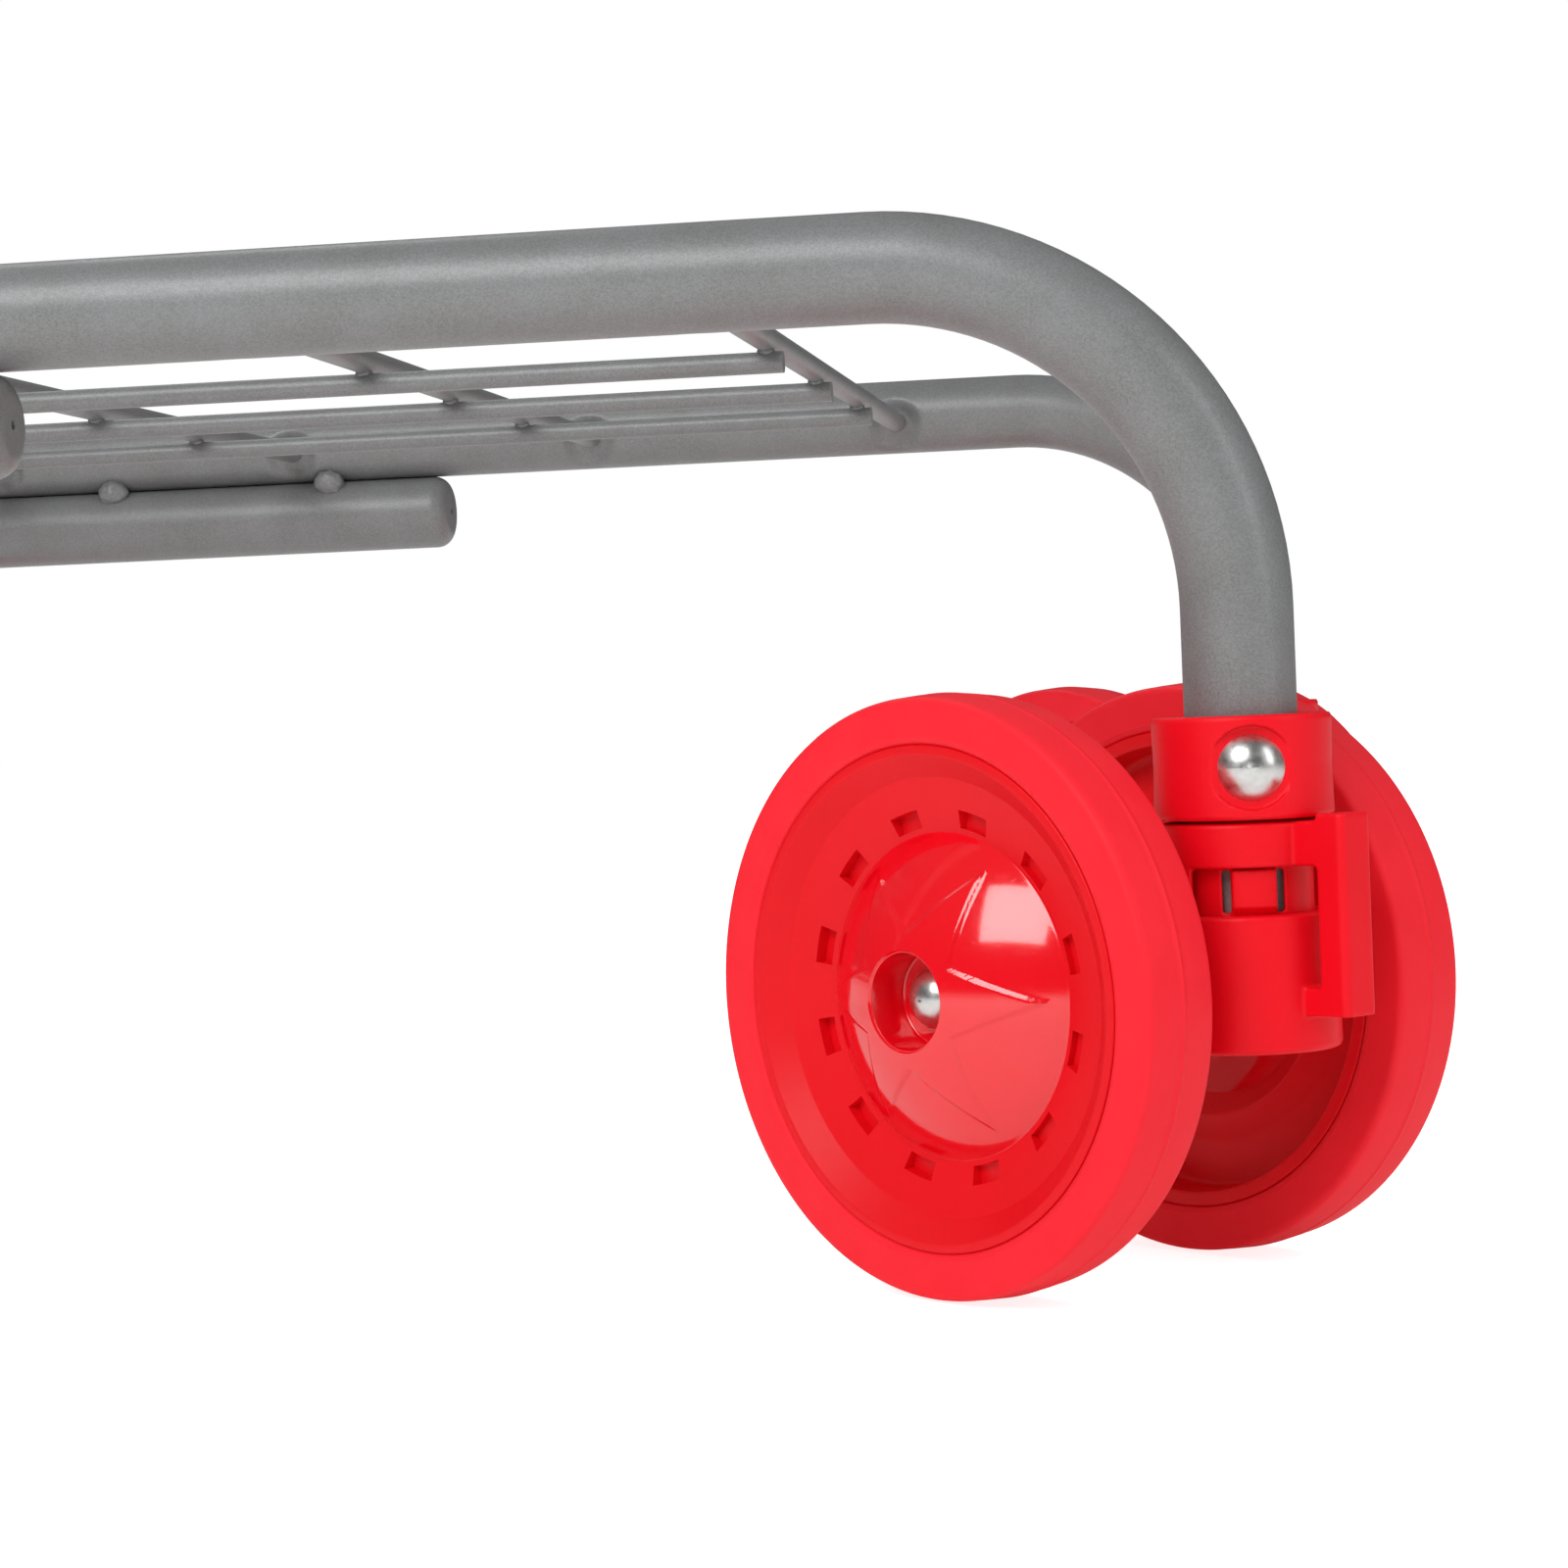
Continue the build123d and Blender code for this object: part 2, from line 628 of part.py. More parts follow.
# Hinge brackets: a saddle riveted on the side tube, two ears for the upright and a stop behind it
ear_in = tube_r + ear_gap
ear_out = ear_in + ear_thickness
saddle_half = 22.0
saddle_side = tube_r + bracket_skin
saddle_top = deck_z + tube_r + bracket_skin
stop_start = 10.0
ear_top = pivot_z + button_rise + 10.0
spring_seat = ear_out + 1.3
button_head_in = spring_seat + button_travel + spring_solid_length
boss_out = button_head_in + 0.7
button_tip = ear_in + button_travel + 0.3  # pressed in, the plunger stops inside the ear
for side, hand in sides.items():
    y = hand * track / 2
    button_z = pivot_z + button_rise
    with BuildPart() as bracket:
        with Locations((pivot_x, y, (deck_z - 7 + saddle_top) / 2)):
            Box(2 * saddle_half, 2 * saddle_side, saddle_top - deck_z + 7)
        fillet(bracket.edges().filter_by(Axis.Z), radius=4)
        with BuildSketch(Plane.XZ.offset(-y)):
            with Locations((pivot_x - 1.5, (saddle_top - 6 + ear_top) / 2)):
                RectangleRounded(2 * ear_reach + 1, ear_top - saddle_top + 6, 6)
        extrude(amount=ear_out, both=True)
        # Boss for the release button on the outboard ear
        with BuildSketch(Plane(origin=(pivot_x, y, button_z), z_dir=(0, hand, 0)).offset(ear_out - 1)):
            Circle(button_head_r + 2.3)
        extrude(amount=boss_out - ear_out + 1)
        # Channel between the ears, open above, in front and, below the stop, behind
        with Locations((pivot_x + ear_reach, y, (saddle_top + ear_top) / 2 + 1)):
            Box(2 * ear_reach + 2 * ear_in, 2 * ear_in, ear_top - saddle_top + 2, mode=Mode.SUBTRACT)
        with Locations((pivot_x - ear_reach, y, (saddle_top + pivot_z + stop_start) / 2)):
            Box(2 * ear_reach, 2 * ear_in, pivot_z + stop_start - saddle_top, mode=Mode.SUBTRACT)
        # Bore for the side tube, rivet holes, hinge pin holes and the button's stepped hole
        with Locations((pivot_x, y, deck_z)):
            Cylinder(tube_r + fit_gap, 3 * saddle_half, rotation=(0, 90, 0), mode=Mode.SUBTRACT)
        with Locations([(pivot_x + s * ear_reach, y, deck_z) for s in (-1, 1)]):
            Cylinder(small_rivet_r + fit_gap, 3 * saddle_side, rotation=(90, 0, 0), mode=Mode.SUBTRACT)
        with Locations((pivot_x, y, pivot_z)):
            Cylinder(hinge_pin_r + fit_gap, 3 * ear_out, rotation=(90, 0, 0), mode=Mode.SUBTRACT)
        with BuildSketch(Plane(origin=(pivot_x, y, button_z), z_dir=(0, hand, 0))):
            Circle(button_shaft_r + running_fit)
        extrude(amount=2 * boss_out, mode=Mode.SUBTRACT)
        with BuildSketch(Plane(origin=(pivot_x, y, button_z), z_dir=(0, hand, 0)).offset(spring_seat)):
            Circle(button_head_r + 0.3)
        extrude(amount=boss_out, mode=Mode.SUBTRACT)
    bracket.part.label = f"hinge_bracket_{side}"
    export_step(bracket.part, f"parts/hinge_bracket_{side}.step")

    # Release button: a stepped plunger with a domed head that pushes the upright's catch back
    with BuildPart() as button:
        with BuildSketch(Plane.XZ):
            with BuildLine():
                top = (0, button_head_in + 5.2)
                rim = (button_head_r, button_head_in + 3.4)
                ThreePointArc(top, arc_middle(*rim, *top), rim)
                Polyline(
                    rim,
                    (button_head_r, button_head_in),
                    (button_shaft_r, button_head_in),
                    (button_shaft_r, button_tip + 0.6),
                    (button_shaft_r - 0.6, button_tip),
                    (0, button_tip),
                    top,
                )
            make_face()
        revolve(axis=Axis.Z)
    placed = button.part.moved(Plane(origin=(pivot_x, y, button_z), z_dir=(0, hand, 0)).location)
    placed.label = f"release_button_{side}"
    export_step(placed, f"parts/release_button_{side}.step")

    # Its return spring, round the plunger
    coil_r = button_shaft_r + 1.2
    spring_start = spring_seat + spring_wire_r + 0.05
    spring_rise = button_head_in - spring_seat - 2 * spring_wire_r - 0.1
    with BuildPart() as spring:
        with BuildLine() as coil:
            Helix(
                pitch=spring_rise / 3,
                height=spring_rise,
                radius=coil_r,
                center=(pivot_x, y + hand * spring_start, button_z),
                direction=(0, hand, 0),
            )
        with BuildSketch(Plane(origin=coil.line @ 0, z_dir=coil.line % 0)):
            Circle(spring_wire_r)
        sweep(path=coil.line, is_frenet=True)
    spring.part.label = f"button_spring_{side}"
    export_step(spring.part, f"parts/button_spring_{side}.step")

# Hinge pins: headed pins through the ears and the upright's ends
with BuildPart() as hinge_pins:
    with Locations([(pivot_x, h * track / 2, pivot_z) for h in sides.values()]):
        Cylinder(hinge_pin_r, 2 * ear_out, rotation=(90, 0, 0))
    for h in sides.values():
        for way in (-1, 1):
            seat = (pivot_x, h * track / 2 + way * ear_out, pivot_z)
            with BuildSketch(Plane(origin=seat, z_dir=(0, way, 0))):
                Circle(pin_head_r)
            extrude(amount=pin_head_height, taper=25)
hinge_pins.part.label = "hinge_pins"
export_step(hinge_pins.part, "parts/hinge_pins.step")

# Bracket rivets through the saddle and the side tube
with BuildPart() as bracket_rivets:
    rivet_places = [(pivot_x + s * ear_reach, h * track / 2) for s in (-1, 1) for h in sides.values()]
    with Locations([(x, y, deck_z) for x, y in rivet_places]):
        Cylinder(small_rivet_r, 2 * saddle_side, rotation=(90, 0, 0))
    for x, y in rivet_places:
        for way in (-1, 1):
            with BuildSketch(Plane(origin=(x, y + way * saddle_side, deck_z), z_dir=(0, way, 0))):
                Circle(small_head_r)
            extrude(amount=small_head_height, taper=35)
bracket_rivets.part.label = "bracket_rivets"
export_step(bracket_rivets.part, "parts/bracket_rivets.step")

# Upright: one U-shaped tube, hinged at both lower ends
upright_foot = 8.0
bar_z_top = upright_top - tube_r
with BuildPart() as upright:
    with BuildLine(Plane.YZ.offset(pivot_x)) as upright_path:
        FilletPolyline(
            (-track / 2, pivot_z - upright_foot),
            (-track / 2, bar_z_top),
            (track / 2, bar_z_top),
            (track / 2, pivot_z - upright_foot),
            radius=upright_bend_r,
        )
    with BuildSketch(Plane(origin=upright_path.line @ 0, z_dir=upright_path.line % 0)):
        Circle(tube_r)
        Circle(inner_r, mode=Mode.SUBTRACT)
    sweep(path=upright_path.line)
    with Locations([(pivot_x, h * track / 2, pivot_z) for h in sides.values()]):
        Cylinder(hinge_pin_r + running_fit, 3 * tube_r, rotation=(90, 0, 0), mode=Mode.SUBTRACT)
    with Locations([(pivot_x, h * (track / 2 + tube_r), pivot_z + button_rise) for h in sides.values()]):
        Cylinder(button_shaft_r + 0.6, tube_r, rotation=(90, 0, 0), mode=Mode.SUBTRACT)
    bar_holes = [(pivot_x, h * (track / 2 - tube_r), z) for h in sides.values() for z in crossbar_heights]
    with Locations(bar_holes):
        Cylinder(crossbar_r + fit_gap, tube_r, rotation=(90, 0, 0), mode=Mode.SUBTRACT)
upright.part.label = "upright_tube"
export_step(upright.part, "parts/upright_tube.step")

crossbar_end = track / 2 - tube_r + tube_wall + rod_insert
with BuildPart() as crossbars:
    with BuildSketch(Plane.XZ.offset(-crossbar_end)):
        with Locations([(pivot_x, z) for z in crossbar_heights]):
            Circle(crossbar_r)
            Circle(crossbar_r - crossbar_wall, mode=Mode.SUBTRACT)
    extrude(amount=2 * crossbar_end)
crossbars.part.label = "upright_crossbars"
export_step(crossbars.part, "parts/upright_crossbars.step")

# Grip: a soft sleeve on the middle of the top bar
with BuildPart() as grip:
    with BuildSketch(Plane.XY.offset(bar_z_top)):
        with BuildLine():
            half = grip_length / 2
            bore_x = pivot_x + tube_r + fit_gap
            skin_x = pivot_x + tube_r + grip_skin
            end = half - grip_edge
            Polyline((skin_x, end), (skin_x - grip_edge, half), (bore_x, half))
            Line((bore_x, half), (bore_x, -half))
            Polyline((bore_x, -half), (skin_x - grip_edge, -half), (skin_x, -end))
            ThreePointArc((skin_x, -end), (skin_x + grip_swell, 0), (skin_x, end))
        make_face()
    revolve(axis=Axis((pivot_x, 0, bar_z_top), (0, 1, 0)))
grip.part.label = "handle_grip"
export_step(grip.part, "parts/handle_grip.step")

# Bag hooks: a ring snapped on the upper crossbar with a J-shaped hook behind it
hook_width = 12.0
hook_ring_r = 9.5
hook_reach = 28.0
hook_wall = 4.0
hook_ys = (-100.0, 100.0)
hook_z = crossbar_heights[1]
with BuildPart() as bag_hooks:
    for y in hook_ys:
        with BuildSketch(Plane.XZ.offset(-y)):
            with Locations((pivot_x, hook_z)):
                Circle(hook_ring_r)
            with Locations((pivot_x - hook_reach / 2, hook_z - hook_ring_r + hook_wall / 2)):
                Rectangle(hook_reach, hook_wall)
            with Locations((pivot_x - hook_reach + hook_wall / 2, hook_z - 1)):
                Rectangle(hook_wall, 2 * hook_ring_r - 2)
            with Locations((pivot_x, hook_z)):
                Circle(crossbar_r + fit_gap, mode=Mode.SUBTRACT)
        extrude(amount=hook_width / 2, both=True)
bag_hooks.part.label = "bag_hooks"
export_step(bag_hooks.part, "parts/bag_hooks.step")
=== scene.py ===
import json
import math

import bmesh
import bpy
import numpy as np
from mathutils import Matrix, Vector


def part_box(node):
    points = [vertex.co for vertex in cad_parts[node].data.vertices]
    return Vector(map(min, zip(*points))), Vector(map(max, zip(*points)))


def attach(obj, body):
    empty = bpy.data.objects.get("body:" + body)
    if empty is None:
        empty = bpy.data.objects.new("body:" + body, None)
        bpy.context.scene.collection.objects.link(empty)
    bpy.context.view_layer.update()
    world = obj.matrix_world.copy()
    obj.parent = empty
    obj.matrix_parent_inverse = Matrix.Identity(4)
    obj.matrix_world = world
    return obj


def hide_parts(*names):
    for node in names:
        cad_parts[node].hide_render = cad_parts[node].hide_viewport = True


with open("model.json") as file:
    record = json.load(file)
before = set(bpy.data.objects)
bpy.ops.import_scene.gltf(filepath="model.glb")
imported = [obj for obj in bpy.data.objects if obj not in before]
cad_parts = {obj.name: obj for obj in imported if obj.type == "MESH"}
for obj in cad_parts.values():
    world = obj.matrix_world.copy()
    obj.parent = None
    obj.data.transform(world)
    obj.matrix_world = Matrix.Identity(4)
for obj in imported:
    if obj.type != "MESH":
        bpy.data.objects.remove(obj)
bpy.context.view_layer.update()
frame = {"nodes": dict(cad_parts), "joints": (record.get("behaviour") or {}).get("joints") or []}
nodes = frame["nodes"]
joints = {joint["name"]: joint for joint in frame["joints"]}
mm = 0.001


# Camera: a long lens close to the floor, beside the cart's right front caster, looking along
# the rack towards the far side.
camera_data = bpy.data.cameras.new("camera")
camera_data.lens = 80.79
camera_data.sensor_width = 36
camera_data.clip_start = 0.05
camera_data.clip_end = 60
camera = bpy.data.objects.new("camera", camera_data)
bpy.context.scene.collection.objects.link(camera)
camera_right = Vector((0.98887627, 0.14316259, -0.0403509))
camera_up = Vector((0.03636939, 0.03032079, 0.99887833))
camera_ahead = camera_up.cross(camera_right)
camera.matrix_world = Matrix.Translation((0.25546, -0.88273, 0.12042)) @ Matrix(
    (camera_right, camera_up, -camera_ahead)
).transposed().to_4x4()
bpy.context.scene.camera = camera


# Studio: a pale floor in a tent of light that is dimmer in reflections, a large key softbox on
# the cart's right, a smaller one ahead and a strip behind. The floor glows mostly for the camera.
def linear(code):
    """A colour written as sRGB hex, made linear."""
    steps = [int(code[i : i + 2], 16) / 255 for i in (0, 2, 4)]
    return tuple(c / 12.92 if c <= 0.04045 else ((c + 0.055) / 1.055) ** 2.4 for c in steps)


def put(tree, kind, inputs=None, **settings):
    """Adds one node. An input is given a value, or the output socket that feeds it."""
    made = tree.nodes.new(kind)
    for name, value in settings.items():
        setattr(made, name, value)
    for name, value in (inputs or {}).items():
        if isinstance(value, bpy.types.NodeSocket):
            tree.links.new(value, made.inputs[name])
        else:
            made.inputs[name].default_value = value
    return made


bpy.context.scene.view_settings.view_transform = "Standard"
world = bpy.data.worlds.new("light_tent")
bpy.context.scene.world = world
world.use_nodes = True
tent = world.node_tree
tent.nodes.clear()
direction = put(tent, "ShaderNodeTexCoord").outputs["Generated"]
height = put(tent, "ShaderNodeSeparateXYZ", {"Vector": direction}).outputs["Z"]
tent_fade = put(
    tent,
    "ShaderNodeMapRange",
    {"Value": height, "From Min": -0.05, "From Max": 0.75, "To Min": 0.22, "To Max": 0.66},
)
rays = put(tent, "ShaderNodeLightPath")
black_flags = put(
    tent, "ShaderNodeMath", {0: rays.outputs["Is Glossy Ray"], 1: -0.8, 2: 1.0}, operation="MULTIPLY_ADD"
)
tent_power = put(
    tent, "ShaderNodeMath", {0: tent_fade.outputs[0], 1: black_flags.outputs[0]}, operation="MULTIPLY"
)
tent_light = put(tent, "ShaderNodeBackground", {"Strength": tent_power.outputs[0], "Color": (1, 1, 1, 1)})
backdrop = put(tent, "ShaderNodeBackground", {"Strength": 1.0, "Color": (1, 1, 1, 1)})
mixed = put(
    tent,
    "ShaderNodeMixShader",
    {0: rays.outputs["Is Camera Ray"], 1: tent_light.outputs[0], 2: backdrop.outputs[0]},
)
put(tent, "ShaderNodeOutputWorld", {"Surface": mixed.outputs[0]})

floor_mesh = bpy.data.meshes.new("studio_floor")
floor_half = 9.0
floor_mesh.from_pydata(
    [(x * floor_half, y * floor_half, 0) for x, y in ((-1, -1), (1, -1), (1, 1), (-1, 1))],
    [],
    [(0, 1, 2, 3)],
)
floor = bpy.data.objects.new("studio_floor", floor_mesh)
bpy.context.scene.collection.objects.link(floor)
floor_finish = bpy.data.materials.new("white_paper_sweep")
floor_finish.use_nodes = True
floor_shader = floor_finish.node_tree.nodes["Principled BSDF"]
floor_shader.inputs["Base Color"].default_value = (*linear("F7F7F6"), 1)
floor_shader.inputs["Roughness"].default_value = 0.9
floor_shader.inputs["Specular IOR Level"].default_value = 0.1
floor_shader.inputs["Emission Color"].default_value = (1, 1, 1, 1)
rays = put(floor_finish.node_tree, "ShaderNodeLightPath")
lit_below = put(
    floor_finish.node_tree,
    "ShaderNodeMath",
    {0: rays.outputs["Is Camera Ray"], 1: 0.7, 2: 0.12},
    operation="MULTIPLY_ADD",
)
floor_finish.node_tree.links.new(lit_below.outputs[0], floor_shader.inputs["Emission Strength"])
floor_mesh.materials.append(floor_finish)


def softbox(name, towards, aim, distance, width, height, watts):
    """A flat panel of light that hangs in that direction from the point it is aimed at."""
    panel = bpy.data.lights.new(name, "AREA")
    panel.shape = "RECTANGLE"
    panel.size, panel.size_y = width, height
    panel.energy = watts
    holder = bpy.data.objects.new(name, panel)
    bpy.context.scene.collection.objects.link(holder)
    out = Vector(towards).normalized()
    holder.location = Vector(aim) + out * distance
    holder.rotation_euler = out.to_track_quat("Z", "Y").to_euler()
    return holder


near_wheel = Vector(joints["front_wheel_spin_right_near"]["pos_m"])
softbox("key_softbox", (-0.3, -0.72, 0.62), near_wheel, 1.5, 0.9, 0.75, 12)
softbox("side_softbox", (0.95, -0.45, 0.5), near_wheel, 1.8, 0.5, 1.2, 5)
softbox("back_strip", (-0.6, 0.8, 0.9), (0, 0, 0.4), 2.6, 1.6, 0.6, 8)


# Frame tubes: bent mild-steel tube, 22 mm across, powder coated in silver. Aluminium flake in
# the coat glitters finely under a clear, slightly rippled skin.
def finish(name):
    """A new material, with its tree, its shader and its Object coordinates in millimetres."""
    made = bpy.data.materials.new(name)
    made.use_nodes = True
    tree = made.node_tree
    place = put(tree, "ShaderNodeTexCoord").outputs["Object"]
    place_mm = put(tree, "ShaderNodeVectorMath", {0: place, "Scale": 1 / mm}, operation="SCALE")
    return made, tree, tree.nodes["Principled BSDF"], place_mm.outputs[0]


silver_coat, tree, shader, place = finish("silver_powder_coat")
flake_mm = 0.28  # flakes are about a fifth of this; drawn as coarse as they need to show
flake = put(tree, "ShaderNodeTexVoronoi", {"Vector": place, "Scale": 1 / flake_mm})
flake_light = put(tree, "ShaderNodeSeparateColor", {0: flake.outputs["Color"]})
cloud = put(tree, "ShaderNodeTexNoise", {"Vector": place, "Scale": 1 / 14, "Detail": 3.0})
coat_tone = put(
    tree, "ShaderNodeMath", {0: flake_light.outputs[0], 1: cloud.outputs["Fac"]}, operation="ADD"
)
coat_ramp = put(
    tree, "ShaderNodeMapRange", {"Value": coat_tone.outputs[0], "From Min": 0.35, "From Max": 1.65}
)
coat_colour = put(
    tree,
    "ShaderNodeMix",
    {"Factor": coat_ramp.outputs[0], 6: (*linear("747573"), 1), 7: (*linear("8A8C8E"), 1)},
    data_type="RGBA",
)
tree.links.new(coat_colour.outputs[2], shader.inputs["Base Color"])
coat_rough = put(
    tree, "ShaderNodeMapRange", {"Value": flake_light.outputs[1], "To Min": 0.42, "To Max": 0.55}
)
tree.links.new(coat_rough.outputs[0], shader.inputs["Roughness"])
ripple = put(tree, "ShaderNodeTexNoise", {"Vector": place, "Scale": 1 / 2.2, "Detail": 2.0})
ripple_bump = put(
    tree, "ShaderNodeBump", {"Height": ripple.outputs["Fac"], "Strength": 0.06, "Distance": 0.2 * mm}
)
tilt = put(
    tree,
    "ShaderNodeBump",
    {
        "Height": flake_light.outputs[2],
        "Strength": 0.1,
        "Distance": 0.06 * mm,
        "Normal": ripple_bump.outputs[0],
    },
)
tree.links.new(tilt.outputs[0], shader.inputs["Normal"])
shader.inputs["Metallic"].default_value = 0.25
shader.inputs["Coat Weight"].default_value = 0.15
shader.inputs["Coat Roughness"].default_value = 0.2


def dress(name, material):
    """Gives a CAD node its finish."""
    for slot in nodes[name].material_slots:
        slot.material = material


def grid_mesh(name, rings, closed_along):
    """A mesh of closed rings of points, each joined to the next, and the last to the first if closed."""
    count, around, _ = rings.shape
    faces = []
    for i in range(count if closed_along else count - 1):
        j = (i + 1) % count
        for k in range(around):
            n = (k + 1) % around
            faces.append((i * around + k, i * around + n, j * around + n, j * around + k))
    mesh = bpy.data.meshes.new(name)
    mesh.from_pydata(rings.reshape(-1, 3).tolist(), [], faces)
    return mesh


def as_piece(name, mesh, materials, body, replaced, sharp=35):
    """Makes a finished mesh a piece of the object, riding on its body in place of CAD nodes."""
    chosen = np.zeros(len(mesh.polygons), dtype=np.int32)
    mesh.polygons.foreach_get("material_index", chosen)
    mesh.materials.clear()
    for material in materials:
        mesh.materials.append(material)
    mesh.polygons.foreach_set("material_index", np.minimum(chosen, len(materials) - 1))
    mesh.shade_smooth()
    mesh.set_sharp_from_angle(angle=math.radians(sharp))
    piece = bpy.data.objects.new(name, mesh)
    bpy.context.scene.collection.objects.link(piece)
    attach(piece, body)
    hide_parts(*replaced)
    return piece


def plain_mesh(holder):
    """Applies an object's modifiers and returns the result as a mesh, without the object."""
    evaluated = holder.evaluated_get(bpy.context.evaluated_depsgraph_get())
    mesh = bpy.data.meshes.new_from_object(evaluated)
    bpy.data.objects.remove(holder)
    return mesh


rods_low, rods_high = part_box("rack_cross_rods")
rod_count = 4
rod_r = (rods_high.z - rods_low.z) / 2
rod_z = (rods_high.z + rods_low.z) / 2
rod_xs = np.linspace(rods_low.x + rod_r, rods_high.x - rod_r, rod_count)
front_bend_r = 70 * mm
tube_wall = 1.2 * mm
dimple_r = 4.3 * mm  # flat bottom of the dimple punched round each rod
dimple_slope = 4.5 * mm
dimple_depth = 2.4 * mm
for side, hand in (("right", -1), ("left", 1)):
    low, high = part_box(f"side_tube_{side}")
    tube_r = (high.y - low.y) / 2
    mid_y = (high.y + low.y) / 2
    deck_z = high.z - tube_r
    swivel_x = high.x - tube_r
    bend_start = swivel_x - front_bend_r
    xs = np.arange(low.x, bend_start, 9 * mm)
    near_rods = [x + np.arange(-10, 10.1, 0.7) * mm for x in rod_xs]
    xs = np.unique(np.round(np.concatenate([xs, *near_rods, [bend_start]]), 5))
    path = [((x, deck_z), (1, 0)) for x in xs]
    for a in np.linspace(0, math.pi / 2, 33)[1:]:
        centre = (bend_start + front_bend_r * math.sin(a), deck_z - front_bend_r * (1 - math.cos(a)))
        path.append((centre, (math.cos(a), -math.sin(a))))
    path.append(((swivel_x, low.z), (0, -1)))
    turn = np.linspace(0, 2 * math.pi, 112, endpoint=False)
    rings = []
    for (x, z), (ahead_x, ahead_z) in path:
        up = np.array((-ahead_z, 0, ahead_x))
        side_way = np.array((0, 1.0, 0))
        out = np.outer(np.cos(turn), side_way) + np.outer(np.sin(turn), up)
        rings.append(np.array((x, mid_y, z)) + tube_r * out)
    rings = np.array(rings)
    inner = -hand
    hole_z = rod_z + rod_r - dimple_r
    for x in rod_xs:
        away = np.hypot(rings[..., 0] - x, rings[..., 2] - hole_z)
        facing = (rings[..., 1] - mid_y) * inner > 0
        share = np.clip((dimple_r + dimple_slope - away) / dimple_slope, 0, 1) * facing
        sunk = dimple_depth * share**2 * (3 - 2 * share)
        rings[..., 1] -= inner * sunk
    tube_mesh = grid_mesh("side_tube", rings, False)
    holder = bpy.data.objects.new("side_tube_skin", tube_mesh)
    bpy.context.scene.collection.objects.link(holder)
    wall = holder.modifiers.new("wall", "SOLIDIFY")
    wall.thickness = tube_wall
    wall.offset = -1
    as_piece(
        f"side_tube_coated_{side}",
        plain_mesh(holder),
        [silver_coat],
        "chassis",
        [f"side_tube_{side}"],
        50,
    )
coated_nodes = ("rear_leg_right", "rear_leg_left", "upright_tube", "upright_crossbars")
for name in (*coated_nodes, "rack_cross_rods", "rack_long_rods"):
    dress(name, silver_coat)


# Weld beads: short runs of gas-shielded weld under each side tube, and resistance-weld nuggets
# where the rods cross. Both are coated with the tubes.
def group(name, sockets):
    """A Geometry Nodes tree with Geometry in and out, and named inputs."""
    tree = bpy.data.node_groups.new(name, "GeometryNodeTree")
    tree.interface.new_socket("Geometry", in_out="INPUT", socket_type="NodeSocketGeometry")
    for label, (kind, value) in sockets.items():
        made = tree.interface.new_socket(label, in_out="INPUT", socket_type=kind)
        if value is not None:
            made.default_value = value
    tree.interface.new_socket("Geometry", in_out="OUTPUT", socket_type="NodeSocketGeometry")
    return tree, tree.nodes.new("NodeGroupInput"), tree.nodes.new("NodeGroupOutput")


def grown(name, mesh, tree, values):
    """Runs a tree on a mesh, with values for its named inputs, and returns the plain mesh."""
    holder = bpy.data.objects.new(name, mesh)
    bpy.context.scene.collection.objects.link(holder)
    growth = holder.modifiers.new(name, "NODES")
    growth.node_group = tree
    for item in tree.interface.items_tree:
        if item.in_out == "INPUT" and item.name in values:
            growth[item.identifier] = values[item.name]
    return plain_mesh(holder)


bead_tree, given, result = group(
    "weld_beads",
    {
        "Radius": ("NodeSocketFloat", 1 * mm),
        "Stretch": ("NodeSocketVector", (1, 1, 1)),
        "Ripple": ("NodeSocketFloat", 0.3 * mm),
        "Finish": ("NodeSocketMaterial", None),
    },
)
ball = put(bead_tree, "GeometryNodeMeshIcoSphere", {"Radius": given.outputs["Radius"], "Subdivisions": 4})
lean = put(
    bead_tree,
    "FunctionNodeRandomValue",
    {0: (-0.2, -0.2, -0.25), 1: (0.2, 0.2, 0.25), "Seed": 7},
    data_type="FLOAT_VECTOR",
)
beads = put(
    bead_tree,
    "GeometryNodeInstanceOnPoints",
    {
        "Points": given.outputs["Geometry"],
        "Instance": ball.outputs[0],
        "Rotation": lean.outputs[0],
        "Scale": given.outputs["Stretch"],
    },
)
solid_beads = put(bead_tree, "GeometryNodeRealizeInstances", {0: beads.outputs[0]})
ripples = put(bead_tree, "ShaderNodeTexNoise", {"Scale": 0.5 / mm, "Detail": 2.0})
ripple_push = put(bead_tree, "ShaderNodeMath", {0: ripples.outputs[0], 1: 0.5}, operation="SUBTRACT")
ripple_size = put(
    bead_tree,
    "ShaderNodeMath",
    {0: ripple_push.outputs[0], 1: given.outputs["Ripple"]},
    operation="MULTIPLY",
)
facing = put(bead_tree, "GeometryNodeInputNormal")
push = put(
    bead_tree,
    "ShaderNodeVectorMath",
    {0: facing.outputs[0], "Scale": ripple_size.outputs[0]},
    operation="SCALE",
)
rippled = put(
    bead_tree, "GeometryNodeSetPosition", {"Geometry": solid_beads.outputs[0], "Offset": push.outputs[0]}
)
coated = put(
    bead_tree,
    "GeometryNodeSetMaterial",
    {"Geometry": rippled.outputs[0], "Material": given.outputs["Finish"]},
)
bead_tree.links.new(coated.outputs[0], result.inputs[0])


